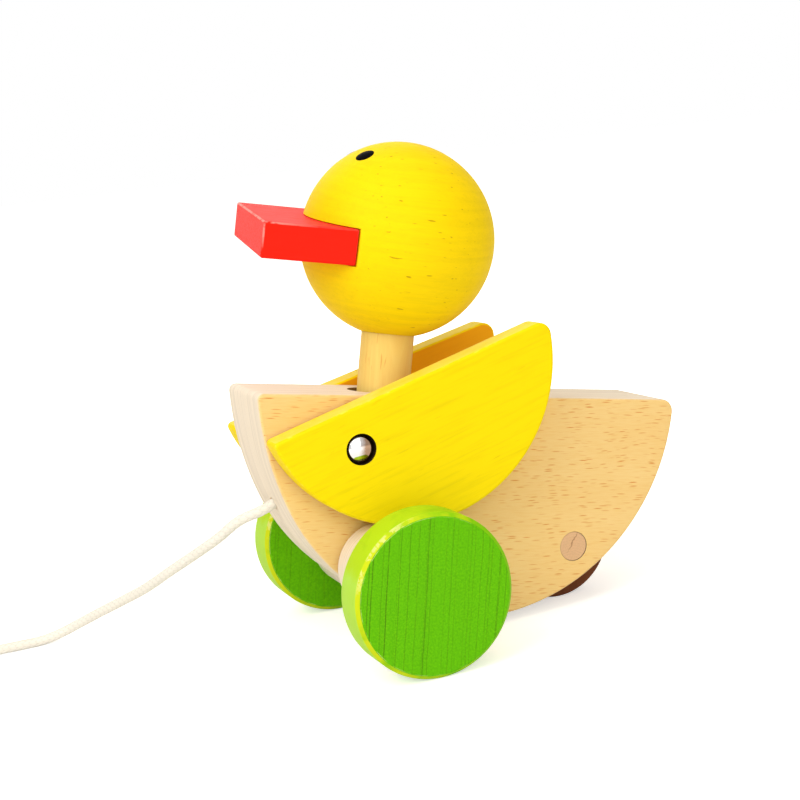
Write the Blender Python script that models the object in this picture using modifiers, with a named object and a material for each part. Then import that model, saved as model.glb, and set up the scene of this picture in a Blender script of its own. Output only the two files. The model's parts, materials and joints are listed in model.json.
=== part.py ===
"""Pull-along duck, in metres, with +Z up and +X the way it is pulled.

The duck is drawn level, its deck on z = 0 over the middle of the body. The stance at
the end sets it down on its wheels and tail roller, which lets the nose point up.
Pieces with a left and a right have the left at +Y.
"""

from math import asin, atan2, ceil, cos, hypot, pi, radians, sin, sqrt, tan

import bmesh
import bpy
from mathutils import Euler, Matrix, Vector

# Fits
GAP = 0.0003  # left between pieces that touch, and round a pin in its bore
SIDE_PLAY = 0.0005  # each side of the roller in its slot
STEPS = 48  # facets round a turned piece
FINE_STEPS = 56  # facets round the wheels and the ball
STUD_STEPS = 24  # facets round small studs and caps
FLAT = radians(0.05)  # faces that turn less than this are one

# Body: a half disc cut from one thick board
BODY_RADIUS = 0.0692
BODY_THICKNESS = 0.0314
BODY_ARC_DROP = 0.0006  # arc centre below the deck
BODY_NOSE_ANGLE = radians(-28)  # where the arc gives way to a straighter nose
BODY_NOSE_RADIUS = 0.096
BODY_NOSE_CORNER = 0.002  # rounding where the deck meets the nose
BODY_TAIL_CORNER = 0.004
BODY_EDGE = 0.0008  # eased edge round both sides
BODY_HALF = BODY_THICKNESS / 2

# Neck: a dowel that nods on a cross pin in a slot through the deck
NECK_RADIUS = 0.0082
NECK_PIVOT = Vector((0.0271, 0, -0.028))
NECK_LEAN = radians(1.9)  # backwards, at rest
NECK_BELOW = 0.012  # foot of the neck under its pin
NECK_CHAMFER = 0.0012
NOD = radians(5)  # each way
NOD_STOP = 0.0008  # left to the slot's end at the full nod
NECK_PIN_RADIUS = 0.002

# Head: ball, with a slot right across it for the bill
BALL_RADIUS = 0.030
BALL_HEIGHT = 0.07455  # ball centre along the neck from its pin
BALL_BACK = 0.0005  # ball centre behind the neck's axis
SOCKET_TOP = 0.0155  # end of the neck's socket under the ball's centre
FACE_YAW = radians(-6)  # how the ball was glued on
FACE_ROLL = radians(-7.7)
BILL_WIDTH = 0.0467
BILL_THICKNESS = 0.0102
BILL_REACH = 0.0465  # front of the bill from the ball's centre
BILL_DEPTH = 0.0182  # back wall of the slot from the ball's centre
BILL_DROP = 0.0003  # middle of the bill under the ball's centre
BILL_EDGE = 0.0007
EYE_LEFT_TOWARDS = Vector((0.498, 0.214, 0.840))  # from the ball's centre
EYE_RIGHT_TOWARDS = Vector((0.498, -0.330, 0.802))
EYE_RADIUS = 0.0029
EYE_DOME = 0.0005
EYE_SHANK_RADIUS = 0.0014
EYE_SHANK_LENGTH = 0.005

# Front wheelset: dowel axle, wheels, and drums bored off centre
AXLE_PLACE = Vector((0.0262, 0, -0.0539))
AXLE_RADIUS = 0.0047
AXLE_WASHER_RADIUS = 0.0085
AXLE_WASHER_THICKNESS = 0.0007
CAM_RADIUS = 0.0133
CAM_OFFSET = 0.0057
CAM_LENGTH = 0.0187
CAM_PHASE_LEFT = radians(26)  # lobe above straight ahead, at rest
CAM_PHASE_RIGHT = radians(194)
CAM_EDGE = 0.0006
WHEEL_RADIUS = 0.0244
WHEEL_THICKNESS = 0.0134
WHEEL_EDGE = 0.0015
WHEEL_BORE_DEPTH = 0.0088

# Wings: half discs on one steel pin
WING_PLACE = Vector((0.0423, 0, -0.0149))
WING_RADIUS = 0.0472
WING_THICKNESS = 0.0090
WING_ARC_RISE = 0.00375  # arc centre over the straight edge
WING_PIN_AHEAD = 0.0230  # pin ahead of the middle of the straight edge
WING_PIN_BELOW_LEFT = 0.0124  # pin under the straight edge
WING_PIN_BELOW_RIGHT = 0.0112
WING_REAR_CORNER = 0.0060
WING_FRONT_CORNER = 0.0015
WING_EDGE = 0.0009
WING_SLOPE_LEFT = radians(24.5)  # tail end up, at rest
WING_SLOPE_RIGHT = radians(22.8)
WING_PIN_RADIUS = 0.0021
WING_WASHER_RADIUS = 0.0065
WING_WASHER_THICKNESS = 0.0008
CAP_RADIUS = 0.00405
CAP_HEIGHT = 0.0032
CAP_RIM = 0.0014  # height of its straight side
CAP_BORE_DEPTH = 0.0018
CAP_SINK_RADIUS = 0.0047
CAP_SINK_DEPTH = 0.0034
CAM_CLEARANCE = 0.0004  # over the turning drum, in the wing's lower edge
WING_RAISE = radians(8)  # the flap, from rest

# Tail roller on a fixed dowel
TAIL_PLACE = Vector((-0.0357, 0, -0.0475))
TAIL_AXLE_RADIUS = 0.0047
TAIL_AXLE_SHORT = 0.0001  # each end under the body's side
ROLLER_RADIUS = 0.0196
ROLLER_WIDTH = 0.0060
ROLLER_EDGE = 0.0008
ROLLER_ROOM = 0.0015  # round the roller in its slot

# Pull cord: glued into the nose, laid along the floor, the rest of it coiled
CORD_RADIUS = 0.0016
CORD_NOSE_ANGLE = radians(-29.9)  # where it leaves the arc, from straight ahead
CORD_HOLE_DEPTH = 0.016
CORD_END_GLUE = 0.002  # cord's end short of the hole's
CORD_LIE = CORD_RADIUS + 0.00005  # height of a cord that lies on the floor
CORD_ROUTE = (
    (0.0746, -0.0030, 0.0449),
    (0.0801, -0.0090, 0.0395),
    (0.0858, -0.0170, 0.0340),
    (0.0925, -0.0270, 0.0276),
    (0.0988, -0.0380, 0.0209),
    (0.1051, -0.0490, 0.0153),
    (0.1113, -0.0580, 0.0106),
    (0.1173, -0.0652, 0.0064),
    (0.1233, -0.0698, 0.0031),
    (0.1297, -0.0710, CORD_LIE),
    (0.1364, -0.0709, CORD_LIE),
    (0.1436, -0.0712, CORD_LIE),
    (0.1550, -0.0712, CORD_LIE),
    (0.1660, -0.0710, CORD_LIE),
)
COIL_CENTRE = Vector((0.178, -0.051, 0))
COIL_RADIUS = 0.0200  # outermost turn
COIL_TURNS = 2  # in each of its two layers
COIL_STEP = 2 * CORD_RADIUS + 0.0005  # from turn to turn and layer to layer
COIL_TAIL = 0.5  # turns that lead off the top layer
LOOP_POINTS = 24
KNOT_RADIUS = 0.0042
KNOT_LENGTH = 0.0085
KNOT_TAIL = 0.0050

# Places along +Y, each worked out from the one before
WING_IN = BODY_HALF + GAP + WING_WASHER_THICKNESS + GAP
WING_OUT = WING_IN + WING_THICKNESS
CAP_FOOT = WING_OUT - CAP_SINK_DEPTH + GAP
CAM_IN = BODY_HALF + GAP + AXLE_WASHER_THICKNESS + GAP
CAM_OUT = CAM_IN + CAM_LENGTH
WHEEL_IN = CAM_OUT + GAP
WHEEL_OUT = WHEEL_IN + WHEEL_THICKNESS

for old in list(bpy.data.objects):
    bpy.data.objects.remove(old)
scene = bpy.context.scene
duck = bpy.data.collections.new("pull_along_duck")
cutting = bpy.data.collections.new("cutters")
scene.collection.children.link(duck)
scene.collection.children.link(cutting)
cutting.hide_render = True


def paint(name, colour, roughness, metallic=0.0):
    """A plain material."""
    made = bpy.data.materials.new(name)
    made.use_nodes = True
    shader = made.node_tree.nodes["Principled BSDF"]
    shader.inputs["Base Color"].default_value = (*colour, 1)
    shader.inputs["Roughness"].default_value = roughness
    shader.inputs["Metallic"].default_value = metallic
    return made


BEECH = paint("beech", (0.80, 0.58, 0.30), 0.5)
DOWEL = paint("dowel", (0.84, 0.64, 0.38), 0.5)
YELLOW = paint("yellow_paint", (0.95, 0.78, 0.01), 0.35)
RED = paint("red_paint", (0.85, 0.03, 0.02), 0.35)
GREEN = paint("green_paint", (0.12, 0.50, 0.02), 0.4)
BROWN = paint("brown_stain", (0.17, 0.06, 0.03), 0.5)
BLACK = paint("black_paint", (0.01, 0.01, 0.01), 0.3)
STEEL = paint("steel", (0.60, 0.60, 0.62), 0.3, 1.0)
CHROME = paint("chrome", (0.80, 0.80, 0.82), 0.1, 1.0)
COTTON = paint("cotton", (0.85, 0.82, 0.72), 0.9)


def pivot(name, parent, place, turn=(0, 0, 0)):
    """An empty on a joint's axis."""
    made = bpy.data.objects.new(name, None)
    made.empty_display_size = 0.01
    made.parent = parent
    made.location = place
    made.rotation_euler = turn
    duck.objects.link(made)
    return made


def piece(name, mesh, parent, material, place=(0, 0, 0), turn=(0, 0, 0)):
    """One named sub-part, placed in its parent's frame."""
    made = bpy.data.objects.new(name, mesh)
    made.parent = parent
    made.location = place
    made.rotation_euler = turn
    mesh.materials.clear()
    mesh.materials.append(material)
    duck.objects.link(made)
    return made


def cut(target, name, mesh, parent, place=(0, 0, 0), turn=(0, 0, 0)):
    """Takes a shape out of a piece."""
    cutter = bpy.data.objects.new(name, mesh)
    cutter.parent = parent
    cutter.location = place
    cutter.rotation_euler = turn
    cutter.hide_render = True
    cutter.display_type = "WIRE"
    cutting.objects.link(cutter)
    taken = target.modifiers.new(name, "BOOLEAN")
    taken.operation = "DIFFERENCE"
    taken.solver = "EXACT"
    taken.object = cutter


def ease(target, width, segments=2):
    """Rounds the sharp edges of a piece, before anything is cut out of it."""
    made = target.modifiers.new("eased", "BEVEL")
    made.width = width
    made.segments = segments
    made.limit_method = "ANGLE"
    made.angle_limit = radians(35)


def as_mesh(made):
    """The evaluated mesh of a helper object, which is then removed. Flat ends are one face."""
    scene.collection.objects.link(made)
    bpy.context.view_layer.update()
    seen = made.evaluated_get(bpy.context.evaluated_depsgraph_get())
    mesh = bpy.data.meshes.new_from_object(seen)
    bpy.data.objects.remove(made)
    work = bmesh.new()
    work.from_mesh(mesh)
    bmesh.ops.remove_doubles(work, verts=work.verts, dist=1e-6)
    bmesh.ops.dissolve_limit(work, angle_limit=FLAT, verts=work.verts, edges=work.edges)
    work.to_mesh(mesh)
    work.free()
    return mesh


def turned(profile, steps=STEPS, hollow=False, along=(0, 1, 0)):
    """A turned mesh from (radius, height) points that run down its outer side.

    A hollow one has a closed profile clear of the axis. Heights run along the axis.
    """
    count = len(profile)
    edges = [(i, i + 1) for i in range(count - 1)]
    if hollow:
        edges.append((count - 1, 0))
    mesh = bpy.data.meshes.new("profile")
    mesh.from_pydata([(r, 0, z) for r, z in profile], edges, [])
    helper = bpy.data.objects.new("profile", mesh)
    screw = helper.modifiers.new("turned", "SCREW")
    screw.angle = 2 * pi
    screw.steps = steps
    screw.render_steps = steps
    screw.use_merge_vertices = True
    screw.merge_threshold = 1e-6
    made = as_mesh(helper)
    made.transform(Vector((0, 0, 1)).rotation_difference(Vector(along)).to_matrix().to_4x4())
    return made


def rod(radius, low, high, steps=STEPS, along=(0, 1, 0), chamfer=0.0):
    """A round bar between two heights, its ends chamfered if asked."""
    side = [(radius, high), (radius, low)]
    if chamfer:
        side = [
            (radius - chamfer, high),
            (radius, high - chamfer),
            (radius, low + chamfer),
            (radius - chamfer, low),
        ]
    return turned([(0, high), *side, (0, low)], steps, along=along)


def ring(outer, inner, low, high, along):
    """A flat washer between two heights."""
    profile = [(inner, high), (outer, high), (outer, low), (inner, low)]
    return turned(profile, STEPS, True, along)


def board(outline, thickness):
    """A flat board with an outline of (x, z) points, its middle plane on y = 0."""
    curve = bpy.data.curves.new("outline", "CURVE")
    curve.dimensions = "2D"
    curve.fill_mode = "BOTH"
    curve.extrude = thickness / 2
    spline = curve.splines.new("POLY")
    spline.points.add(len(outline) - 1)
    for point, (x, z) in zip(spline.points, outline):
        point.co = (x, z, 0, 1)
    spline.use_cyclic_u = True
    made = as_mesh(bpy.data.objects.new("outline", curve))
    made.transform(Matrix.Rotation(pi / 2, 4, "X"))
    return made


def arc(centre, radius, start, end, count):
    """Points on an arc of a circle."""
    steps = [start + (end - start) * i / count for i in range(count + 1)]
    return [(centre[0] + radius * cos(a), centre[1] + radius * sin(a)) for a in steps]


def corner(centre, radius, top, rounding, side):
    """Centre of the rounding between an arc and a straight top edge, and its angle."""
    up = top - rounding - centre[1]
    out = side * sqrt((radius - rounding) ** 2 - up**2)
    angle = atan2(up, out)
    return (centre[0] + out, top - rounding), angle - (2 * pi if angle > 0 and out < 0 else 0)


def half_disc(centre, radius, top, nose, tail_rounding, count):
    """Outline of a disc cut straight across, from its nose round to its tail.

    The nose is its own arc: centre, radius, the angle where it starts, and its rounding.
    """
    nose_centre, nose_radius, nose_angle, nose_rounding = nose
    front, front_angle = corner(nose_centre, nose_radius, top, nose_rounding, 1)
    rear, rear_angle = corner(centre, radius, top, tail_rounding, -1)
    points = arc(front, nose_rounding, pi / 2, front_angle, 5)
    points += arc(nose_centre, nose_radius, front_angle, nose_angle, count // 4)[1:]
    points += arc(centre, radius, nose_angle, rear_angle, count)[1:-1]
    points += arc(rear, tail_rounding, rear_angle, -3 * pi / 2, 6)
    return points


def block(x_from, x_to, width, z_middle, thickness):
    """A plain block."""
    work = bmesh.new()
    size = Vector((x_to - x_from, width, thickness))
    middle = Vector(((x_to + x_from) / 2, 0, z_middle))
    bmesh.ops.create_cube(work, size=1, matrix=Matrix.LocRotScale(middle, None, size))
    mesh = bpy.data.meshes.new("block")
    work.to_mesh(mesh)
    work.free()
    return mesh


def tube(points, material, name, sides):
    """A cord along points, closed at both ends."""
    curve = bpy.data.curves.new("cord", "CURVE")
    curve.dimensions = "3D"
    curve.bevel_depth = CORD_RADIUS
    curve.bevel_resolution = sides
    curve.use_fill_caps = True
    spline = curve.splines.new("POLY")
    spline.points.add(len(points) - 1)
    for point, place in zip(spline.points, points):
        point.co = (*place, 1)
    mesh = as_mesh(bpy.data.objects.new("cord", curve))
    return piece(name, mesh, None, material)


def smooth_run(points, spacing):
    """Evenly spread points on a smooth curve through the route's own points."""
    ends = [2 * points[0] - points[1], *points, 2 * points[-1] - points[-2]]
    fine = []
    for a, b, c, d in zip(ends, ends[1:], ends[2:], ends[3:]):
        for i in range(20):
            t = i / 20
            bend = 2 * a - 5 * b + 4 * c - d
            fine.append(b + ((c - a) * t + bend * t * t + (3 * (b - c) + d - a) * t**3) / 2)
    fine.append(points[-1])
    lengths = [0.0]
    for a, b in zip(fine, fine[1:]):
        lengths.append(lengths[-1] + (b - a).length)
    count = ceil(lengths[-1] / spacing)
    run = [fine[0]]
    for i in range(1, count):
        want = lengths[-1] * i / count
        at = next(k for k, length in enumerate(lengths) if length >= want)
        share = (want - lengths[at - 1]) / (lengths[at] - lengths[at - 1])
        run.append(fine[at - 1].lerp(fine[at], share))
    run.append(fine[-1])
    return run, lengths[-1]


def ramp(t):
    """Rises smoothly from 0 to 1."""
    t = min(max(t, 0), 1)
    return t * t * (3 - 2 * t)


# Joint axes
stance = pivot("stance", None, (0, 0, 0))
head = pivot("head_pivot", stance, NECK_PIVOT, (0, -NECK_LEAN, 0))
wheels = pivot("wheel_pivot", stance, AXLE_PLACE)
tail = pivot("tail_pivot", stance, TAIL_PLACE)

# Body block, with its slots and bores
nose_back = BODY_RADIUS - BODY_NOSE_RADIUS
nose_centre = (nose_back * cos(BODY_NOSE_ANGLE), nose_back * sin(BODY_NOSE_ANGLE) - BODY_ARC_DROP)
nose = (nose_centre, BODY_NOSE_RADIUS, BODY_NOSE_ANGLE, BODY_NOSE_CORNER)
outline = half_disc((0, -BODY_ARC_DROP), BODY_RADIUS, 0, nose, BODY_TAIL_CORNER, 44)
body = piece("body_block", board(outline, BODY_THICKNESS), stance, BEECH)
ease(body, BODY_EDGE)
through = BODY_THICKNESS
deck_depth = -NECK_PIVOT.z
slot_half = NECK_RADIUS + tan(NOD) * deck_depth + NOD_STOP
slot_run = slot_half - NECK_RADIUS - GAP
slot_width = NECK_RADIUS + GAP
slot_floor = deck_depth + NECK_BELOW + NECK_RADIUS * tan(NOD) + NOD_STOP
slot = arc((slot_run, 0), slot_width, -pi / 2, pi / 2, 16)
slot += arc((-slot_run, 0), slot_width, pi / 2, 3 * pi / 2, 16)
slot_mesh = board(slot, 2 * slot_floor)
slot_mesh.transform(Matrix.Rotation(pi / 2, 4, "X"))
slot_middle = (NECK_PIVOT.x - tan(NECK_LEAN) * deck_depth, 0, 0)
cut(body, "neck_slot", slot_mesh, stance, slot_middle)
cut(body, "neck_pin_bore", rod(NECK_PIN_RADIUS + GAP, -through, through, STUD_STEPS), stance, NECK_PIVOT)
cut(body, "wing_pin_bore", rod(WING_PIN_RADIUS + GAP, -through, through, STUD_STEPS), stance, WING_PLACE)
cut(body, "axle_bore", rod(AXLE_RADIUS + GAP, -through, through), stance, AXLE_PLACE)
slot_half_width = ROLLER_WIDTH / 2 + SIDE_PLAY
roller_slot = rod(ROLLER_RADIUS + ROLLER_ROOM, -slot_half_width, slot_half_width, FINE_STEPS)
cut(body, "roller_slot", roller_slot, stance, TAIL_PLACE)
cut(body, "tail_bore", rod(TAIL_AXLE_RADIUS + GAP, -through, through), stance, TAIL_PLACE)
cord_way = Vector((cos(CORD_NOSE_ANGLE), 0, sin(CORD_NOSE_ANGLE)))
cord_exit = Vector((0, 0, -BODY_ARC_DROP)) + BODY_RADIUS * cord_way
cord_hole = rod(CORD_RADIUS + GAP, -CORD_HOLE_DEPTH, CORD_HOLE_DEPTH, STUD_STEPS, cord_way)
cut(body, "cord_hole", cord_hole, stance, cord_exit)

# Neck and its cross pin
neck_top = BALL_HEIGHT - SOCKET_TOP - GAP
neck_mesh = rod(NECK_RADIUS, -NECK_BELOW, neck_top, STEPS, (0, 0, 1), NECK_CHAMFER)
neck = piece("neck_dowel", neck_mesh, head, DOWEL)
cut(neck, "neck_cross_bore", rod(NECK_PIN_RADIUS + GAP, -through, through, STUD_STEPS), head)
pin_half = BODY_HALF - TAIL_AXLE_SHORT
piece("neck_pin", rod(NECK_PIN_RADIUS, -pin_half, pin_half, STUD_STEPS), stance, STEEL, NECK_PIVOT)

# Head ball, bill and eyes
work = bmesh.new()
bmesh.ops.create_uvsphere(work, u_segments=FINE_STEPS, v_segments=26, radius=BALL_RADIUS)
ball_mesh = bpy.data.meshes.new("ball")
work.to_mesh(ball_mesh)
work.free()
face_turn = Euler((FACE_ROLL, 0, FACE_YAW))
ball_place = Vector((-BALL_BACK, 0, BALL_HEIGHT))
ball = piece("head_ball", ball_mesh, head, YELLOW, ball_place, face_turn)
socket = rod(NECK_RADIUS + GAP, -BALL_RADIUS * 1.2, -SOCKET_TOP, STEPS, (0, 0, 1))
cut(ball, "neck_socket", socket, head, (0, 0, BALL_HEIGHT))
mouth_height = BILL_THICKNESS + 2 * GAP
mouth = block(BILL_DEPTH - GAP, 2 * BALL_RADIUS, 3 * BALL_RADIUS, -BILL_DROP, mouth_height)
cut(ball, "mouth_slot", mouth, head, ball_place, face_turn)
bill_mesh = block(BILL_DEPTH, BILL_REACH, BILL_WIDTH, -BILL_DROP, BILL_THICKNESS)
bill = piece("bill", bill_mesh, head, RED, ball_place, face_turn)
ease(bill, BILL_EDGE)
dome_reach = hypot(EYE_RADIUS, EYE_DOME)
dome_curve = dome_reach**2 / (2 * EYE_DOME)
dome_half = asin(EYE_RADIUS / dome_curve)
dome = [dome_curve * sin(dome_half * i / 4) for i in range(5)]
dome = [(r, EYE_DOME - dome_curve + sqrt(dome_curve**2 - r * r)) for r in dome]
for name, way in (("eye_left", EYE_LEFT_TOWARDS), ("eye_right", EYE_RIGHT_TOWARDS)):
    towards = way.normalized()
    stud = dome + [
        (EYE_SHANK_RADIUS, 0),
        (EYE_SHANK_RADIUS, -EYE_SHANK_LENGTH),
        (0, -EYE_SHANK_LENGTH),
    ]
    stud = [(r, z + BALL_RADIUS + GAP) for r, z in stud]
    piece(name, turned(stud, STUD_STEPS, along=towards), head, BLACK, ball_place, face_turn)
    hole_end = BALL_RADIUS - EYE_SHANK_LENGTH
    hole = rod(EYE_SHANK_RADIUS + GAP, hole_end - GAP, BALL_RADIUS * 1.1, STUD_STEPS, towards)
    cut(ball, name + "_hole", hole, head, ball_place, face_turn)

# Front wheelset
axle_half = WHEEL_IN + WHEEL_BORE_DEPTH - GAP
piece("wheel_axle", rod(AXLE_RADIUS, -axle_half, axle_half, STEPS), wheels, DOWEL)
rim = [(WHEEL_RADIUS - WHEEL_EDGE, 0), (WHEEL_RADIUS, -WHEEL_EDGE)]
for side, name, phase in ((1, "left", CAM_PHASE_LEFT), (-1, "right", CAM_PHASE_RIGHT)):
    out = (0, side, 0)
    lobe = (CAM_OFFSET * cos(phase), 0, CAM_OFFSET * sin(phase))
    washer = ring(AXLE_WASHER_RADIUS, AXLE_RADIUS + GAP, BODY_HALF + GAP, CAM_IN - GAP, out)
    piece("axle_washer_" + name, washer, stance, STEEL, AXLE_PLACE)
    drum = rod(CAM_RADIUS, CAM_IN, CAM_OUT, STEPS, out, CAM_EDGE)
    cam = piece("cam_" + name, drum, wheels, BEECH, lobe)
    cut(cam, "cam_bore_" + name, rod(AXLE_RADIUS + GAP, 0, WHEEL_OUT, STEPS, out), wheels)
    profile = [(0, WHEEL_OUT)] + [(r, WHEEL_OUT + z) for r, z in rim]
    profile += [(r, WHEEL_IN - z) for r, z in reversed(rim)]
    profile += [(AXLE_RADIUS + GAP, WHEEL_IN)]
    profile += [(AXLE_RADIUS + GAP, WHEEL_IN + WHEEL_BORE_DEPTH)]
    profile += [(0, WHEEL_IN + WHEEL_BORE_DEPTH)]
    piece("wheel_" + name, turned(profile, FINE_STEPS, along=out), wheels, GREEN)

# Wings, their pin, washers and caps
pin_end = CAP_FOOT + CAP_BORE_DEPTH - GAP
piece("wing_pin", rod(WING_PIN_RADIUS, -pin_end, pin_end, STUD_STEPS), stance, STEEL, WING_PLACE)
cap_dome = CAP_HEIGHT - CAP_RIM
cap = [
    (CAP_RADIUS * sin(a * pi / 10), CAP_RIM + cap_dome * cos(a * pi / 10)) for a in range(6)
]
cap += [
    (CAP_RADIUS, 0),
    (WING_PIN_RADIUS + GAP, 0),
    (WING_PIN_RADIUS + GAP, CAP_BORE_DEPTH),
    (0, CAP_BORE_DEPTH),
]
drum_reach = CAM_RADIUS + CAM_OFFSET + CAM_CLEARANCE
sides = (
    (1, "left", WING_SLOPE_LEFT, WING_PIN_BELOW_LEFT),
    (-1, "right", WING_SLOPE_RIGHT, WING_PIN_BELOW_RIGHT),
)
for side, name, slope, below in sides:
    out = (0, side, 0)
    hinge = pivot("wing_pivot_" + name, stance, WING_PLACE, (0, slope, 0))
    middle = (-WING_PIN_AHEAD, below + WING_ARC_RISE)
    nose = (middle, WING_RADIUS, -pi / 4, WING_FRONT_CORNER)
    mesh = board(half_disc(middle, WING_RADIUS, below, nose, WING_REAR_CORNER, 32), WING_THICKNESS)
    mesh.transform(Matrix.Translation((0, side * (WING_IN + WING_THICKNESS / 2), 0)))
    wing = piece("wing_" + name, mesh, hinge, YELLOW)
    ease(wing, WING_EDGE)
    cut(wing, "wing_bore_" + name, rod(WING_PIN_RADIUS + GAP, 0, WING_OUT + GAP, STUD_STEPS, out), hinge)
    sink = rod(CAP_SINK_RADIUS, WING_OUT - CAP_SINK_DEPTH, WING_OUT + GAP, STEPS, out)
    cut(wing, "wing_sink_" + name, sink, hinge)
    for share in (0, 0.5, 1):
        scallop = rod(drum_reach, WING_IN - GAP, WING_OUT + GAP, FINE_STEPS, out)
        raised = Matrix.Rotation(-slope - share * WING_RAISE, 3, "Y")
        cut(wing, "drum_scallop_" + name, scallop, hinge, raised @ (AXLE_PLACE - WING_PLACE))
    washer = ring(WING_WASHER_RADIUS, WING_PIN_RADIUS + GAP, BODY_HALF + GAP, WING_IN - GAP, out)
    piece("wing_washer_" + name, washer, stance, STEEL, WING_PLACE)
    dome_cap = turned([(r, z + CAP_FOOT) for r, z in cap], STUD_STEPS, along=out)
    piece("wing_cap_" + name, dome_cap, stance, CHROME, WING_PLACE)

# Tail dowel and roller
tail_half = BODY_HALF - TAIL_AXLE_SHORT
piece("tail_axle", rod(TAIL_AXLE_RADIUS, -tail_half, tail_half), stance, DOWEL, TAIL_PLACE)
roller_half = ROLLER_WIDTH / 2
profile = [
    (TAIL_AXLE_RADIUS + GAP, roller_half),
    (ROLLER_RADIUS - ROLLER_EDGE, roller_half),
    (ROLLER_RADIUS, roller_half - ROLLER_EDGE),
    (ROLLER_RADIUS, ROLLER_EDGE - roller_half),
    (ROLLER_RADIUS - ROLLER_EDGE, -roller_half),
    (TAIL_AXLE_RADIUS + GAP, -roller_half),
]
piece("tail_roller", turned(profile, FINE_STEPS, hollow=True), tail, BROWN)

# Stance: wheels and roller on the floor, the box's bottom centre at the origin
base = AXLE_PLACE - TAIL_PLACE
sit_back = atan2(-base.z, base.x) + asin((WHEEL_RADIUS - ROLLER_RADIUS) / base.length)
stance.rotation_euler = (0, -sit_back, 0)
bpy.context.view_layer.update()
graph = bpy.context.evaluated_depsgraph_get()
corners = []
for made in duck.objects:
    if made.type == "MESH":
        seen = made.evaluated_get(graph)
        corners += [made.matrix_world @ v.co for v in seen.data.vertices]
low = Vector([min(c[i] for c in corners) for i in range(3)])
high = Vector([max(c[i] for c in corners) for i in range(3)])
stance.location = -Vector(((low.x + high.x) / 2, (low.y + high.y) / 2, low.z))
bpy.context.view_layer.update()

# Cord: out of its hole, along its route, then the coil and its knot
turn = stance.matrix_world.to_3x3()
leave = turn @ cord_way
leaves_at = stance.matrix_world @ cord_exit
inside = leaves_at - (CORD_HOLE_DEPTH - CORD_END_GLUE) * leave
coil_start = COIL_CENTRE + Vector((-2 * CORD_RADIUS, -COIL_RADIUS, CORD_LIE))
route = [inside, leaves_at, leaves_at + 3 * CORD_RADIUS * leave]
ahead = leaves_at.x + 6 * CORD_RADIUS
route += [Vector(p) for p in CORD_ROUTE if p[0] > ahead]
route.append(coil_start - Vector((GAP, 0, 0)))
run, free_length = smooth_run(route, 4.6 * CORD_RADIUS)
tube(run, COTTON, "pull_cord", 2)

inner = COIL_RADIUS - COIL_TURNS * COIL_STEP
layers = 2 * COIL_TURNS
knot_lie = KNOT_RADIUS + CORD_LIE - CORD_RADIUS
loops = [coil_start]
for i in range(round((layers + COIL_TAIL) * LOOP_POINTS) + 1):
    s = i / LOOP_POINTS
    radius = inner + COIL_STEP * abs(s - COIL_TURNS)
    height = CORD_LIE + COIL_STEP * ramp(2 * (s - COIL_TURNS) + 0.5)
    if s > layers:
        radius = COIL_RADIUS + 2 * COIL_STEP * (s - layers)
        drop = ramp((s - layers) / COIL_TAIL)
        height += (knot_lie - height) * drop
    angle = 2 * pi * s - pi / 2
    loops.append(COIL_CENTRE + Vector((radius * cos(angle), radius * sin(angle), height)))
loop_way = Vector((-1, 0, 0))
loops.append(loops[-1] + 2 * CORD_RADIUS * loop_way)
coil_length = sum((b - a).length for a, b in zip(loops, loops[1:]))
least = min(
    (a - b).length
    for i, a in enumerate(loops)
    for b in loops[i + LOOP_POINTS // 3 :]
)
tube(loops, COTTON, "cord_coil", 1)
knot = [(0, 0), (CORD_RADIUS, 0)]
knot += [
    (CORD_RADIUS + (KNOT_RADIUS - CORD_RADIUS) * sin(pi * i / 8), -KNOT_LENGTH * i / 8)
    for i in range(1, 8)
]
knot += [
    (CORD_RADIUS, -KNOT_LENGTH),
    (CORD_RADIUS, -KNOT_LENGTH - KNOT_TAIL),
    (0, -KNOT_LENGTH - KNOT_TAIL),
]
knot_mesh = turned(knot, STUD_STEPS, along=(1, 0, 0))
piece("cord_knot", knot_mesh, None, COTTON, loops[-1] + GAP * loop_way)

# Every piece keeps its finished mesh, round ones shaded smooth
bpy.context.view_layer.update()
graph = bpy.context.evaluated_depsgraph_get()
finished = {}
for made in duck.objects:
    if made.type == "MESH":
        finished[made] = bpy.data.meshes.new_from_object(made.evaluated_get(graph))
for made, mesh in finished.items():
    work = bmesh.new()
    work.from_mesh(mesh)
    bmesh.ops.remove_doubles(work, verts=work.verts, dist=1e-6)
    bmesh.ops.dissolve_degenerate(work, edges=work.edges, dist=1e-7)
    work.to_mesh(mesh)
    work.free()
    made.modifiers.clear()
    made.data = mesh
    mesh.name = made.name
    mesh.shade_smooth()
    mesh.set_sharp_from_angle(angle=radians(35))

print(f"sits back {sit_back * 180 / pi:.2f} degrees")
print(f"cord {1000 * free_length:.1f} mm free and {1000 * coil_length:.1f} mm coiled")
print(f"least gap of the coil to itself {1000 * (least - 2 * CORD_RADIUS):.2f} mm")
for name in ("head_pivot", "wheel_pivot", "tail_pivot", "wing_pivot_left"):
    place = bpy.data.objects[name].matrix_world.translation
    print(name, [round(v, 5) for v in place])
print("cord leaves at", [round(v, 5) for v in leaves_at])
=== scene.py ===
"""Finish of a pull-along duck: its turned and sawn pieces, timber, paint, cord and stage.

The pieces are drawn in the duck's own level frame, its deck on z = 0, and then set down in
its nose-up stance. +X is the way it is pulled, and the left side is at +Y. Sizes are in
metres, and the finishes work in millimetres.
"""

import json
from math import asin, atan2, ceil, cos, hypot, pi, radians, sin, sqrt, tan

import bmesh
import bpy
from bpy.props import FloatProperty, FloatVectorProperty, IntProperty, PointerProperty
from mathutils import Euler, Matrix, Vector


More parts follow.
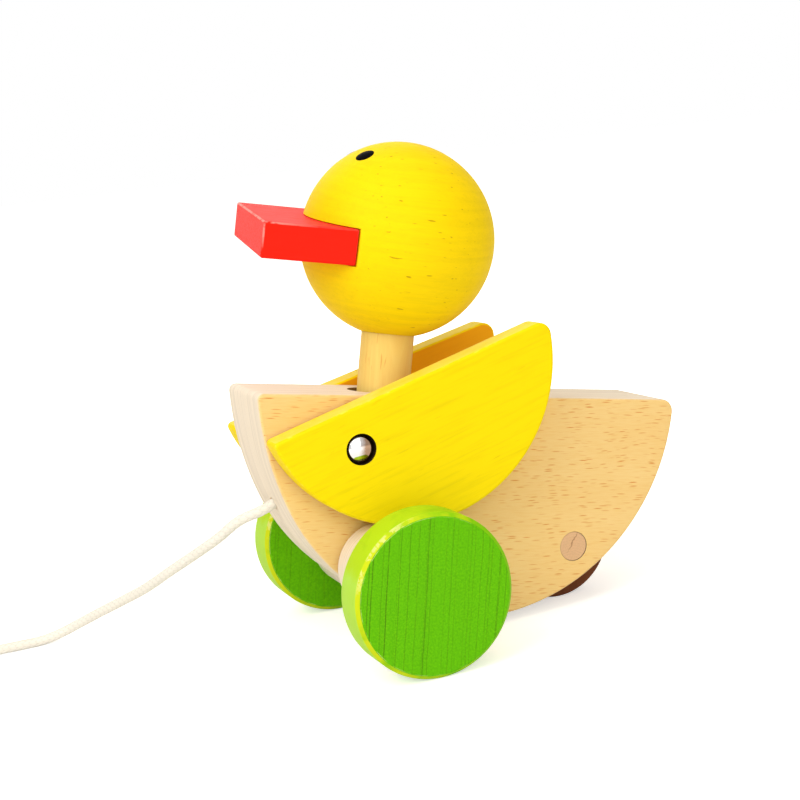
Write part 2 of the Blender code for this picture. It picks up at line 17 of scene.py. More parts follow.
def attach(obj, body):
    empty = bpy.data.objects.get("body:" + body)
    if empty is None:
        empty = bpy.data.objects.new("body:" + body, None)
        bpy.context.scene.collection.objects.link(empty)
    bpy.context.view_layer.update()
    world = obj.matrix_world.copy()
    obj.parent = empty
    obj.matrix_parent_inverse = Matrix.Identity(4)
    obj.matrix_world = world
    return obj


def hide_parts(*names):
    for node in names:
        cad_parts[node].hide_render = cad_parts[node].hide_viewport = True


bl_info = {
    "name": "Pull-along duck",
    "version": (1, 0, 0),
    "blender": (4, 5, 0),
    "location": "View3D > Sidebar > Duck",
    "description": "Builds the finished pieces of a wooden pull-along duck on its frame",
    "category": "Object",
}

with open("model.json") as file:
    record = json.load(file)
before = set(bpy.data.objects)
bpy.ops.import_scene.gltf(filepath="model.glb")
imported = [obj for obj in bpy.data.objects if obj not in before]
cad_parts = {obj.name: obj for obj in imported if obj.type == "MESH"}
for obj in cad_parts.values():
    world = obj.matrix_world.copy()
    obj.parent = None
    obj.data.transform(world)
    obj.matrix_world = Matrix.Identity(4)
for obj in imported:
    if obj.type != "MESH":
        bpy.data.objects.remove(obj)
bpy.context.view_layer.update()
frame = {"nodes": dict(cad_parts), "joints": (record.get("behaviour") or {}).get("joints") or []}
HINGES = {joint["name"]: Vector(joint["pos_m"]) for joint in frame["joints"]}

SIDES = {"left": 1, "right": -1}
AHEAD = Vector((1, 0, 0))
LEFT = Vector((0, 1, 0))
RIGHT = -LEFT
UP = Vector((0, 0, 1))
DOWN = -UP
ALONG_Y = Matrix.Rotation(-pi / 2, 4, "X")
OUTWARDS = {"left": ALONG_Y, "right": ALONG_Y.inverted()}

# Facets round small, middling and large bores and studs, and steps round corners
SMALL = 48
MIDDLING = 64
LARGE = 96
FRONT_STEPS = 10
REAR_STEPS = 12
SLOT_STEPS = 32

# What counts as one point, as a sharp edge, and as a flat face's own way
SAME_POINT = 1e-6
SHARP_EDGE = radians(35)
SAME_WAY = 0.9995

MM = 1000  # to the metre
GLOSS = "Specular IOR Level"

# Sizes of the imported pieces, in the duck's level frame
GAP = 0.0003
BODY_RADIUS = 0.0692
BODY_HALF = 0.0157
BODY_ARC = Vector((0, 0, -0.0006))
BODY_STEPS = 160
NOSE_ANGLE = radians(-28)
NOSE_RADIUS = 0.096
NOSE_CORNER = 0.002
TAIL_CORNER = 0.004
TAIL_END = -0.06
ROUND_SKIN = 0.001
SIDE_SKIN = 0.0005
NECK_RADIUS = 0.0082
NECK_PIVOT = Vector((0.0271, 0, -0.028))
NECK_LEAN = radians(1.9)
NECK_BELOW = 0.012
NECK_TOP = 0.05875
NECK_EDGE = 0.0012
NECK_PIN_BORE = 0.0023
NECK_ROOM = 0.0008
NOD = radians(5)
BALL_RADIUS = 0.030
BALL_PLACE = Vector((-0.0005, 0, 0.07455))
SOCKET_TOP = 0.0155
SOCKET_FOOT = 0.036
FACE_TURN = Euler((radians(-7.7), 0, radians(-6))).to_matrix().to_4x4()
BILL_WIDTH = 0.0467
BILL_THICKNESS = 0.0107
BILL_FRONT = 0.0465
BILL_BACK = 0.0182
BILL_DROP = 0.00055
MOUTH_FRONT = 0.06
MOUTH_WIDTH = 0.09
EYE_TOWARDS = {"left": Vector((0.498, 0.214, 0.840)), "right": Vector((0.498, -0.330, 0.802))}
EYE_RADIUS = 0.0029
EYE_DOME = 0.0004
EYE_RIM = 0.0004
EYE_SHOULDER = 0.0005
EYE_STEM_RADIUS = 0.0014
EYE_STEM_LENGTH = 0.005
EYE_SINK = 0.0001
AXLE_PLACE = Vector((0.0262, 0, -0.0539))
AXLE_RADIUS = 0.0047
DRUM_RADIUS = 0.0133
DRUM_OFFSET = 0.0057
DRUM_PHASES = {"left": radians(26), "right": radians(194)}
DRUM_GRAIN = radians(35)
DRUM_IN = 0.0170
DRUM_OUT = 0.0357
DRUM_SWEEP = 0.0194
WHEEL_RADIUS = 0.0244
WHEEL_IN = 0.0360
WHEEL_OUT = 0.0494
WHEEL_BORE_DEPTH = 0.0098
WHEEL_EASE = 0.00018
WHEEL_LINES = {"left": 1.0, "right": 0.45}  # how dark the grain shows
RIM_TURN = 0.6  # this and the next two: how far a wheel's faces turn outwards
CHAMFER_TURN = 0.707
CREASE_TURN = 0.92
WING_PLACE = Vector((0.0423, 0, -0.0149))
WING_RADIUS = 0.0472
WING_STEPS = 120
WING_ARC_RISE = 0.00375
WING_NOSE_ANGLE = -pi / 4
WING_PIN_AHEAD = 0.0230
WING_PIN_BELOW = {"left": 0.0124, "right": 0.0112}
WING_RAISE = radians(8)
WING_SLOPES = {"left": radians(24.5), "right": radians(22.8)}
WING_REAR_CORNER = 0.0040
WING_FRONT_CORNER = 0.0015
WING_IN = 0.0171
WING_OUT = 0.0261
PIN_BORE = 0.0024
CAP_RADIUS = 0.0042
CAP_FOOT = 0.0230
CAP_RIM = 0.0014
CAP_DOME = 0.0018
CAP_LIP = 0.0002
CAP_HOLE = 0.0018
SINK_RADIUS = 0.0047
SINK_DEPTH = 0.0034
TAIL_PLACE = Vector((-0.0357, 0, -0.0475))
DOWEL_RADIUS = 0.0047
DOWEL_FIT = 0.00005
DOWEL_SHORT = 0.0001
DOWEL_EDGE = 0.00025
ROLLER_RADIUS = 0.0196
ROLLER_HALF = 0.0030
ROLLER_EDGE = 0.0007
ROLLER_ROOM = 0.0015
SLOT_HALF = 0.0035
CORD_ANGLE = radians(-29.9)
CORD_WAY = Vector((cos(CORD_ANGLE), 0, sin(CORD_ANGLE)))
CORD_RADIUS = 0.0016
CORD_INSIDE = 0.014
CORD_HOLE = 0.016
FLARE_RADIUS = 0.0050
FLARE_LENGTH = 0.004

# The cord's lie outside the body, its coil, knot and tie, in the frame's own axes
CORD_LIE = 0.00165
CORD_SIDES = 16
CORD_STEP = 0.0016
CORD_STRANDS = 6
CORD_ROUTE = (
    (0.0746, -0.0030, 0.0449),
    (0.0801, -0.0090, 0.0395),
    (0.0858, -0.0170, 0.0340),
    (0.0925, -0.0270, 0.0276),
    (0.0988, -0.0380, 0.0209),
    (0.1051, -0.0490, 0.0153),
    (0.1113, -0.0580, 0.0106),
    (0.1173, -0.0652, 0.0064),
    (0.1233, -0.0698, 0.0031),
    (0.1297, -0.0710, CORD_LIE),
    (0.1364, -0.0709, CORD_LIE),
    (0.1436, -0.0712, CORD_LIE),
    (0.1550, -0.0712, CORD_LIE),
    (0.1660, -0.0710, CORD_LIE),
)
COIL_CENTRE = Vector((0.178, -0.051, 0))
COIL_RADIUS = 0.0200
COIL_TURNS = 2
COIL_STEP = 0.0037
COIL_INNER = COIL_RADIUS - COIL_TURNS * COIL_STEP
COIL_TAIL = 0.5
COIL_POINTS = 72
KNOT_RADIUS = 0.0042
KNOT_LENGTH = 0.0085
KNOT_END = 0.0008
KNOT_TURNS = 2.6
KNOT_SWING = 0.12
KNOT_CROWDING = 0.35
KNOT_TAIL = 0.0050
TWINE_RADIUS = 0.00035
TWINE_SIDES = 8
TWINE_LAY = 0.0012
TWINE_LIE = 0.00036
TWINE_STRANDS = 2
TIE_OVER = (1.75, 0.75, 3.75, 2.75)  # turns along the coil, in the order the twine meets them
TIE_REACH = CORD_RADIUS + 0.00015
TIE_TURNS = 4
TIE_WIDTH = 0.00286

# Stance: the front wheels and the tail roller stand on the floor
BASE = AXLE_PLACE - TAIL_PLACE
SIT_BACK = atan2(-BASE.z, BASE.x) + asin((WHEEL_RADIUS - ROLLER_RADIUS) / BASE.length)
STANCE = Matrix.Translation(HINGES["wheel_roll"]) @ Matrix.Rotation(-SIT_BACK, 4, "Y")
STANCE = STANCE @ Matrix.Translation(-AXLE_PLACE)
HEAD = STANCE @ Matrix.Translation(NECK_PIVOT) @ Matrix.Rotation(-NECK_LEAN, 4, "Y")
FACE = HEAD @ Matrix.Translation(BALL_PLACE) @ FACE_TURN
AXLE = STANCE @ Matrix.Translation(AXLE_PLACE)
TAIL = STANCE @ Matrix.Translation(TAIL_PLACE)

# Colours of wear, cuts, metal and the stage, and of painted shade, shadow, sheen, highlight and
# reflection
WORN_BEECH = (0.93, 0.76, 0.50)
# painted shade: near black on the walls of the body's slots and bores
SLOT_PAINTED_SHADE = (0.10, 0.045, 0.015)
# painted shade: orange on the wings' faces towards the body
WING_INNER_SHADE = (0.90, 0.27, 0.01)
# painted highlight: paler yellow in patches on the wings' top edges
WING_TOP_HIGHLIGHT = (0.93, 0.81, 0.14)
# painted shade: near black on the wall of the sunk hole round each cap
SINK_PAINTED_SHADE = (0.035, 0.02, 0.01)
GREEN_LINE = (0.06, 0.17, 0.002)
GREEN_PALE = (0.21, 0.60, 0.002)
# painted shadow of the wing, with its yellow reflected light, on the rims' tops
RIM_WING_SHADOW = (0.47, 0.71, 0.012)
# painted light and shade: the chamfer's darker green behind, and its paler green in front
CHAMFER_SHADED = (0.22, 0.58, 0.003)
CHAMFER_LIT = (0.60, 0.70, 0.010)
# pale chips on the chamfer, partly wear and partly a painted highlight at the top front
CHAMFER_CHIPS_AND_HIGHLIGHT = (0.69, 0.76, 0.20)
# pale line where face meets chamfer, partly wear and partly a painted highlight
WHEEL_CREASE_WEAR_AND_HIGHLIGHT = (0.85, 0.84, 0.30)
# painted sheen: paler red on the bill's top and front faces
RED_SHEEN = (0.93, 0.07, 0.06)
# pale bill edges: partly rubbed, partly a painted highlight at the top and front
RED_RUBBED_AND_HIGHLIGHT = (0.95, 0.34, 0.30)
END_GRAIN = (0.76, 0.48, 0.27)
END_CRACK = (0.30, 0.12, 0.045)
BLACK = (0.001, 0.001, 0.0015)
BLACK_SPECK = (0.004, 0.004, 0.005)
CHROME = (0.72, 0.71, 0.72)
STEEL = (0.58, 0.57, 0.56)
# painted reflection: warm brown on the chrome caps towards the tail
WARM_REFLECTION = (0.28, 0.15, 0.07)
FLOOR_WHITE = (0.86, 0.86, 0.86, 1)
FILL_LIGHT = (1.0, 0.84, 0.60)
WHITE = (1, 1, 1, 1)

# Camera, where the picture was taken from, and lamps by place, size and watts
CAMERA_PLACE = (0.19048, 0.44524, 0.15267)
CAMERA_TURN = (radians(80.5085), radians(6.5245), radians(157.8361))
CAMERA_LENS = 69.75
CAMERA_SENSOR = 36
CAMERA_NEAREST = 0.01
LAMPS = {
    "key_lamp": ((0.74, 0.36, 0.78), 0.7, 6.1),
    "side_lamp": ((0.12, 1.02, 0.50), 0.9, 4.7),
    "top_lamp": ((-0.10, 0.10, 1.10), 0.8, 2.8),
    "back_lamp": ((-0.05, -1.00, 0.55), 1.0, 3.2),
}
LAMP_TARGET = Vector((0.02, 0, 0.06))
FILL_STRENGTH = 0.40
FLOOR_SIZE = 12
FLOOR_GLOW = 0.5
SHADOW_FADE = (0.2, 0.5)


def length_setting(name, description, default):
    """A length that a user may change."""
    return FloatProperty(name=name, description=description, default=default, unit="LENGTH")


def colour_setting(name, description, default):
    """A colour that a user may change."""
    return FloatVectorProperty(
        name=name, description=description, default=default, subtype="COLOR", min=0, max=1
    )


class DuckSizes(bpy.types.PropertyGroup):
    """Sizes of the finish."""

    facets: IntProperty(
        name="Facets", description="Facets round a turned piece", default=128, min=24, max=256
    )
    board_edge: length_setting("Board edge", "Rounding along the body's sawn edges", 0.0008)
    wing_edge: length_setting("Wing edge", "Rounding along the wings' edges", 0.0009)
    wheel_edge: length_setting("Wheel edge", "Chamfer of the wheels' rims", 0.0013)
    bill_edge: length_setting("Bill edge", "Rounding along the bill's edges", 0.0006)
    drum_edge: length_setting("Drum edge", "Rounding of the drums' rims", 0.0006)
    braid_lay: length_setting("Braid lay", "Length of one crossing of the cord's braid", 0.0022)


class DuckColours(bpy.types.PropertyGroup):
    """Colours of the finish."""

    beech_side: colour_setting("Beech side", "Bare beech on the sawn sides", (0.895, 0.658, 0.283))
    beech_edge: colour_setting(
        "Beech edge", "Bare beech on deck and round edge", (0.92, 0.815, 0.665)
    )
    beech_fleck: colour_setting("Beech fleck", "Dark ray flecks in the beech", (0.66, 0.21, 0.02))
    dowel: colour_setting("Dowel", "Bare dowel", (0.89, 0.69, 0.21))
    yellow: colour_setting("Yellow", "Yellow stain of the head and wings", (0.97, 0.755, 0.0012))
    green: colour_setting("Green", "Green stain on the wheels' faces", (0.125, 0.52, 0.0015))
    green_rim: colour_setting("Green rim", "Green stain on the wheels' rims", (0.47, 0.77, 0.075))
    red: colour_setting("Red", "Red stain of the bill", (0.95, 0.016, 0.005))
    brown: colour_setting("Brown", "Brown stain of the tail roller", (0.17, 0.055, 0.022))
    cotton: colour_setting("Cotton", "Raw cotton of the cord", (0.90, 0.875, 0.80))


# Meshes


def turn_to(start, end):
    """The turn from one way to another."""
    return start.rotation_difference(end).to_matrix().to_4x4()


def vertices_in(items):
    """The vertices among what an operator made."""
    return [item for item in items if isinstance(item, bmesh.types.BMVert)]


def plate(arcs, thickness, edge=0.0):
    """A flat board on y = 0, its outline a run of arcs that turn clockwise.

    Each arc is its centre's x and z, radius, first and last angle, and steps.
    """
    work = bmesh.new()
    first = last = None
    for x, z, radius, start, end, steps in arcs:
        place = Vector((x + radius * cos(start), 0, z + radius * sin(start)))
        if last is None:
            first = last = work.verts.new(place)
        elif (last.co - place).length > SAME_POINT:
            corner = work.verts.new(place)
            work.edges.new((last, corner))
            last = corner
        made = bmesh.ops.spin(
            work, geom=[last], cent=(x, 0, z), axis=LEFT, angle=start - end, steps=steps
        )
        last = vertices_in(made["geom_last"])[0]
    work.edges.new((last, first))
    bmesh.ops.edgeloop_fill(work, edges=work.edges[:])
    bmesh.ops.translate(work, verts=work.verts[:], vec=(0, -thickness / 2, 0))
    made = bmesh.ops.extrude_face_region(work, geom=work.faces[:])
    bmesh.ops.translate(work, verts=vertices_in(made["geom"]), vec=(0, thickness, 0))
    bmesh.ops.recalc_face_normals(work, faces=work.faces[:])
    if edge:
        soften(work, edge, 4)
    return work


def soften(work, edge, segments, least=radians(50)):
    """Rounds a shape's sharp edges."""
    bmesh.ops.bevel(
        work,
        geom=[e for e in work.edges if e.calc_face_angle(0) > least],
        offset=edge,
        offset_type="OFFSET",
        segments=segments,
        profile=0.5,
        affect="EDGES",
        clamp_overlap=True,
        material=-1,
    )
    bmesh.ops.recalc_face_normals(work, faces=work.faces[:])


def turned(profile, facets, place=Matrix.Identity(4), hollow=False):
    """A shape spun about its own +Z from (radius, height) points down its outer side."""
    work = bmesh.new()
    points = [work.verts.new((r, 0, z)) for r, z in profile]
    for a, b in zip(points, points[1:] + points[:1] if hollow else points[1:]):
        work.edges.new((a, b))
    bmesh.ops.spin(
        work,
        geom=work.verts[:] + work.edges[:],
        cent=(0, 0, 0),
        axis=UP,
        angle=2 * pi,
        steps=facets,
        use_merge=True,
    )
    bmesh.ops.remove_doubles(work, verts=work.verts[:], dist=SAME_POINT)
    bmesh.ops.recalc_face_normals(work, faces=work.faces[:])
    bmesh.ops.transform(work, matrix=place, verts=work.verts[:])
    return work


def rod(radius, low, high, facets, place=Matrix.Identity(4)):
    """A round bar between two heights."""
    return turned([(0, high), (radius, high), (radius, low), (0, low)], facets, place)


def block(middle, size):
    """A square block."""
    work = bmesh.new()
    bmesh.ops.create_cube(work, size=1, matrix=Matrix.LocRotScale(middle, None, size))
    return work


def linked(name, data):
    """An object in the scene."""
    made = bpy.data.objects.new(name, data)
    bpy.context.scene.collection.objects.link(made)
    return made


def as_object(name, work):
    """An object that holds a shape."""
    mesh = bpy.data.meshes.new(name)
    work.to_mesh(mesh)
    work.free()
    return linked(name, mesh)


def finished_mesh(made):
    """The evaluated mesh of a helper, which is then removed."""
    bpy.context.view_layer.update()
    graph = bpy.context.evaluated_depsgraph_get()
    mesh = bpy.data.meshes.new_from_object(made.evaluated_get(graph))
    bpy.data.objects.remove(made)
    return mesh


def carved(work, cutters=()):
    """The mesh left of a shape after the cutters' shapes are taken out."""
    blank = as_object("blank", work)
    tools = [as_object("cutter", cutter) for cutter in cutters]
    for tool in tools:
        taken = blank.modifiers.new("cut", "BOOLEAN")
        taken.operation = "DIFFERENCE"
        taken.solver = "EXACT"
        taken.object = tool
    mesh = finished_mesh(blank)
    for tool in tools:
        bpy.data.objects.remove(tool)
    return mesh


def shade(mesh, *flats):
    """Shades a mesh smooth, apart from its sharp edges and the faces that look along flats."""
    mesh.shade_smooth()
    mesh.set_sharp_from_angle(angle=SHARP_EDGE)
    for face in mesh.polygons:
        if any(face.normal.dot(way) > SAME_WAY for way in flats):
            face.use_smooth = False


def mark_faces(mesh, name, worth):
    """Writes a value on each face, for a finish to read."""
    layer = mesh.attributes.new(name, "FLOAT", "FACE")
    layer.data.foreach_set("value", [float(worth(face)) for face in mesh.polygons])


def mark_wear(mesh, worn):
    """Writes how rubbed each point of an edge is."""
    layer = mesh.attributes.new("wear", "FLOAT", "POINT")
    layer.data.foreach_set("value", [worn(v.co) for v in mesh.vertices])


def band(share):
    """Rises and falls between 0 and 1."""
    return 4 * share * (1 - share) if 0 < share < 1 else 0.0


def settle(name, mesh, place, body, slot, material, *nodes):
    """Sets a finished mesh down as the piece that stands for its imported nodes."""
    mesh.transform(place)
    mesh.name = name
    mesh.materials.clear()
    mesh.materials.append(material)
    made = linked(name, mesh)
    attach(made, body)
    if nodes:
        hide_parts(*nodes)
    return made


def dress(material, *nodes):
    """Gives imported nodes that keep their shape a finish."""
    for name in nodes:
        mesh = frame["nodes"][name].data
        mesh.materials.clear()
        mesh.materials.append(material)


def corner_of(centre, radius, top, rounding, side):
    """Centre of the rounding between an arc and a straight top edge, and its angle."""
    up = top - rounding - centre[1]
    out = side * sqrt((radius - rounding) ** 2 - up**2)
    angle = atan2(up, out)
    return (centre[0] + out, top - rounding), angle - (2 * pi if angle > 0 and out < 0 else 0)


def half_disc(centre, radius, top, nose, tail_rounding, steps):
    """Arcs of a disc cut straight across, from its nose round to its tail."""
    nose_centre, nose_radius, nose_angle, nose_rounding = nose
    front, front_angle = corner_of(nose_centre, nose_radius, top, nose_rounding, 1)
    rear, rear_angle = corner_of(centre, radius, top, tail_rounding, -1)
    return [
        (*front, nose_rounding, pi / 2, front_angle, FRONT_STEPS),
        (*nose_centre, nose_radius, front_angle, nose_angle, steps // 4),
        (*centre, radius, nose_angle, rear_angle, steps),
        (*rear, tail_rounding, rear_angle, -3 * pi / 2, REAR_STEPS),
    ]


def ramp(share):
    """Rises smoothly from 0 to 1."""
    share = min(max(share, 0), 1)
    return share * share * (3 - 2 * share)


def smooth_run(points, spacing):
    """Evenly spread points on a smooth line through a route's own points."""
    ends = [2 * points[0] - points[1], *points, 2 * points[-1] - points[-2]]
    steps = 20
    fine = []
    for a, b, c, d in zip(ends, ends[1:], ends[2:], ends[3:]):
        bend = 2 * a - 5 * b + 4 * c - d
        for i in range(steps):
            t = i / steps
            fine.append(b + ((c - a) * t + bend * t * t + (3 * (b - c) + d - a) * t**3) / 2)
    fine.append(points[-1])
    lengths = run_lengths(fine)
    count = ceil(lengths[-1] / spacing)
    run = [fine[0]]
    for i in range(1, count):
        want = lengths[-1] * i / count
        at = next(k for k, reached in enumerate(lengths) if reached >= want)
        share = (want - lengths[at - 1]) / (lengths[at] - lengths[at - 1])
        run.append(fine[at - 1].lerp(fine[at], share))
    run.append(fine[-1])
    return run


def run_lengths(points):
    """Length along a run at each of its points."""
    lengths = [0.0]
    for a, b in zip(points, points[1:]):
        lengths.append(lengths[-1] + (b - a).length)
    return lengths


def swept(points, radius, round_steps, lay):
    """A closed cord along points, its UV map once round by lays along."""
    curve = bpy.data.curves.new("run", "CURVE")
    curve.dimensions = "3D"
    curve.bevel_depth = radius
    curve.bevel_resolution = (round_steps - 4) // 2
    curve.use_fill_caps = True
    spline = curve.splines.new("POLY")
    spline.points.add(len(points) - 1)
    for point, place in zip(spline.points, points):
        point.co = (*place, 1)
    mesh = finished_mesh(linked("run", curve))
    bpy.data.curves.remove(curve)
    work = bmesh.new()
    work.from_mesh(mesh)
    bmesh.ops.remove_doubles(work, verts=work.verts[:], dist=SAME_POINT)
    work.verts.ensure_lookup_table()
    sides = len(work.verts) // len(points)
    if sides * len(points) != len(work.verts):
        raise RuntimeError(f"a cord has {len(work.verts)} points on {len(points)} rings")
    lengths = run_lengths(points)
    layer = work.loops.layers.uv.verify()
    for face in work.faces:
        turns = [loop.vert.index % sides for loop in face.loops]
        seam = max(turns) - min(turns) > sides // 2
        for loop, turn in zip(face.loops, turns):
            around = turn + sides if seam and turn < sides // 2 else turn
            loop[layer].uv = (around / sides, lengths[loop.vert.index // sides] / lay)
        face.smooth = len(face.verts) == 4
    work.to_mesh(mesh)
    work.free()
    return mesh


# Finishes: scales of noise are per millimetre


class Value:
    """A value, place or colour in a node tree. Sums on it add the nodes that work them out."""

    def __init__(self, tree, socket):
        self.tree = tree
        self.socket = socket

    def __add__(self, other):
        return self.math("ADD", other)

    def __sub__(self, other):
        return self.math("SUBTRACT", other)

    def __mul__(self, other):
        return self.math("MULTIPLY", other)

    def __truediv__(self, other):
        return self.math("DIVIDE", other)

    def __lt__(self, other):
        return self.math("LESS_THAN", other)

    def __gt__(self, other):
        return self.math("GREATER_THAN", other)

    def __abs__(self):
        return self.math("ABSOLUTE")

    def math(self, operation, *others):
        """A sum on this value and others."""
        inputs = dict(enumerate((self, *others)))
        return worked(self.tree, "Math", inputs, operation=operation)

    def spread(self, low, high, to_low=0.0, to_high=1.0):
        """The value spread from one range over another."""
        inputs = {"Value": self, "From Min": low, "From Max": high}
        inputs.update({"To Min": to_low, "To Max": to_high})
        return worked(self.tree, "MapRange", inputs)

    def between(self, a, b):
        """The colour this share of the way from one colour to another."""
        a, b = (c if isinstance(c, Value) else (*c[:3], 1) for c in (a, b))
        return worked(self.tree, "Mix", {0: self, 6: a, 7: b}, 2, data_type="RGBA")

    def parts(self):
        """A place's X, Y and Z."""
        return [Value(self.tree, out) for out in add(self.tree, "SeparateXYZ", {0: self}).outputs]

    def stretched(self, *scales):
        """A place with each of its parts scaled."""
        return worked(self.tree, "VectorMath", {0: self, 1: scales}, operation="MULTIPLY")

    def noise(self, scale=1.0, detail=2.0, roughness=0.5):
        """Plain noise at a place."""
        inputs = {"Vector": self, "Scale": scale, "Detail": detail, "Roughness": roughness}
        return worked(self.tree, "TexNoise", inputs, "Fac")

    def cells(self, entry, scale=1.0, **settings):
        """Uneven cells: the distance from a cell's middle, and a chance that each cell has."""
        cell = add(self.tree, "TexVoronoi", {entry: self, "Scale": scale}, **settings).outputs
        return Value(self.tree, cell["Distance"]), Value(self.tree, cell["Color"]).parts()[0]


class Finish:
    """A finish in the making: its material, node tree and shader."""

    def __init__(self, name, constants):
        self.material = bpy.data.materials.new(name)
        self.material.use_nodes = True
        self.tree = self.material.node_tree
        self.shader = self.tree.nodes["Principled BSDF"]
        for label, value in constants.items():
            self.give(label, value)

    def give(self, label, value):
        """Links or sets one of the shader's sockets."""
        put(self.tree, self.shader.inputs[label], value)

    def written(self, name):
        """A value written on the piece's faces or points."""
        return worked(self.tree, "Attribute", {}, "Fac", attribute_name=name)

    def space(self, place=Matrix.Identity(4)):
        """Object coordinates turned into a piece's own frame, in millimetres."""
        inputs = {"Vector": worked(self.tree, "TexCoord", {}, "Object")}
        inputs.update({"Location": place.to_translation(), "Rotation": place.to_euler()})
        inputs["Scale"] = (1 / MM, 1 / MM, 1 / MM)
        return worked(self.tree, "Mapping", inputs, vector_type="TEXTURE")

    def rubbed(self, vector, start=0.45):
        """The rubbed edges in this finish."""
        given = {"Vector": vector, "Wear": self.written("wear"), "Start": start}
        return effect(rubbed_edges, given, "Mask")["Mask"]

    def raise_grain(self, height, distance, strength=0.3):
        """Lets a height stand out of the surface."""
        inputs = {"Height": height, "Distance": distance, "Strength": strength}
        self.give("Normal", worked(self.tree, "Bump", inputs))

    def painted(self, shown):
        """The finished material, in its colour."""
        self.give("Base Color", shown)
        return self.material


def put(tree, socket, value):
    """Links a socket, or sets its value."""
    if isinstance(value, Value):
        tree.links.new(value.socket, socket)
    else:
        socket.default_value = value


def add(tree, kind, inputs, **settings):
    """A node with its inputs and settings."""
    made = tree.nodes.new("ShaderNode" + kind)
    for key, value in settings.items():
        setattr(made, key, value)
    for key, value in inputs.items():
        put(tree, made.inputs[key], value)
    return made


def worked(tree, kind, inputs, output=0, **settings):
    """What a new node puts out."""
    return Value(tree, add(tree, kind, inputs, **settings).outputs[output])


def joined(x, y, z):
    """A place made of its parts."""
    return worked(x.tree, "CombineXYZ", {"X": x, "Y": y, "Z": z})


def reach_of(a, b):
    """How far off two parts of a place lie together."""
    return (a * a + b * b).math("SQRT")


def effect(wire, given, *outs):
    """A shared effect in one finish. Its node group is wired when it is first asked for."""
    group = bpy.data.node_groups.get(wire.__name__)
    if not group:
        group = bpy.data.node_groups.new(wire.__name__, "ShaderNodeTree")
        for label in given:
            kind = "NodeSocketVector" if label == "Vector" else "NodeSocketFloat"
            group.interface.new_socket(label, in_out="INPUT", socket_type=kind)
        for label in outs:
            group.interface.new_socket(label, in_out="OUTPUT", socket_type="NodeSocketFloat")
        sockets = group.nodes.new("NodeGroupInput").outputs[: len(given)]
        shown = wire(*(Value(group, socket) for socket in sockets))
        for socket, value in zip(group.nodes.new("NodeGroupOutput").inputs, shown):
            put(group, socket, value)
    tree = given["Vector"].tree
    made = add(tree, "Group", given, node_tree=group)
    return {label: Value(tree, made.outputs[label]) for label in outs}


def timber_figure(vector, spacing, length, height, start):
    """Figure of the timber, from a place in millimetres whose X runs along the grain.

    Lines are the growth layers, stacked along Y. Flecks are short dark dashes along the grain.
    """
    x, y, z = vector.parts()
    layer = (vector.noise(0.03, 1.0) - 0.5) * 5.0 + y
    lines = joined(x * 0.008, layer / spacing, z * 0.012).noise(1.0, 3.0, 0.55)
    flecks = joined(x / length, y / height, z / height).noise(1.0, 1.0)
    fibre = vector.stretched(0.22, 3.2, 3.2).noise()
    tone = vector.stretched(0.02, 0.12, 0.12).noise(1.0, 1.0)
    streaks = vector.stretched(0.05, 0.8, 0.8).noise(1.0, 3.0, 0.6)
    flecks = flecks.spread(start, start + 0.07)
    return lines.spread(0.36, 0.66), flecks, fibre, tone, streaks.spread(0.48, 0.72)


def ray_flecks(vector, size):
    """Dashes of even size in rows along X, from a place in millimetres, some of them faint."""
    x, y, z = vector.parts()
    drift = (vector.noise(0.03, 1.0) - 0.5) * 4.0
    place = joined(x / 6.2, (y + drift) / 0.62, (z + drift) / 0.62)
    off, chance = place.cells("Vector")
    return (off.spread(size * 0.45, size, 1.0, 0.0) * chance.spread(0.1, 1.0, 0.25, 1.0),)


def rubbed_edges(vector, wear, start):
    """Where handling has rubbed an edge, from the wear written on its points."""
    patches = vector.noise(0.35, 3.0, 0.6).spread(0.3, 0.7)
    return ((wear * patches).spread(start, start + 0.35),)


def figure_of(vector, spacing, length=5.5, height=0.6, start=0.66):
    """The figure of the timber in one finish."""
    given = {"Vector": vector, "Line Spacing": spacing}
    given.update({"Fleck Length": length, "Fleck Height": height, "Fleck Start": start})
    return effect(timber_figure, given, "Lines", "Flecks", "Fibre", "Tone", "Streaks")


def darker(shown, share):
    """A colour taken down."""
    return tuple(value * share for value in shown[:3])


def deeper(shown, share):
    """A timber's colour taken down and warmed: blue goes first, red last."""
    return tuple(value * share**power for value, power in zip(shown, (0.3, 1.0, 2.2)))


def beech(name, place, colours):
    """Bare oiled beech: flecked on the board's side, lined on its edge, painted dark as shade in
    slots and bores.
    """
    finish = Finish(name, {GLOSS: 0.12})
    vector = finish.space(place)
    figure = figure_of(vector, spacing=0.75)
    side = finish.written("side")
    shown = side.between(colours.beech_edge, colours.beech_side)
    line = side.between(darker(colours.beech_edge, 0.66), deeper(colours.beech_side, 0.72))
    shown = (figure["Lines"] * side.spread(0, 1, 0.55, 0.12)).between(shown, line)
    toned = figure["Tone"].spread(0.3, 0.7, 0.0, 0.35) * side
    shown = toned.between(shown, deeper(colours.beech_side, 0.86))
    fibres = figure["Fibre"].spread(0.4, 0.7, 0.0, 0.3) * side
    shown = fibres.between(shown, deeper(colours.beech_side, 0.74))
    flecks = effect(ray_flecks, {"Vector": vector, "Size": 0.31}, "Mask")["Mask"]
    shown = (flecks * side.spread(0, 1, 0.12, 0.9)).between(shown, colours.beech_fleck)
    shown = (finish.rubbed(vector, 0.2) * 0.4).between(shown, WORN_BEECH)
    # painted shade: the walls of slots and bores are taken near black
    shown = (finish.written("inside") * 0.8).between(shown, SLOT_PAINTED_SHADE)
    finish.give("Roughness", figure["Fibre"].spread(0.3, 0.7, 0.48, 0.64))
    finish.raise_grain(figure["Fibre"] - flecks, 0.00006)
    return finish.painted(shown)


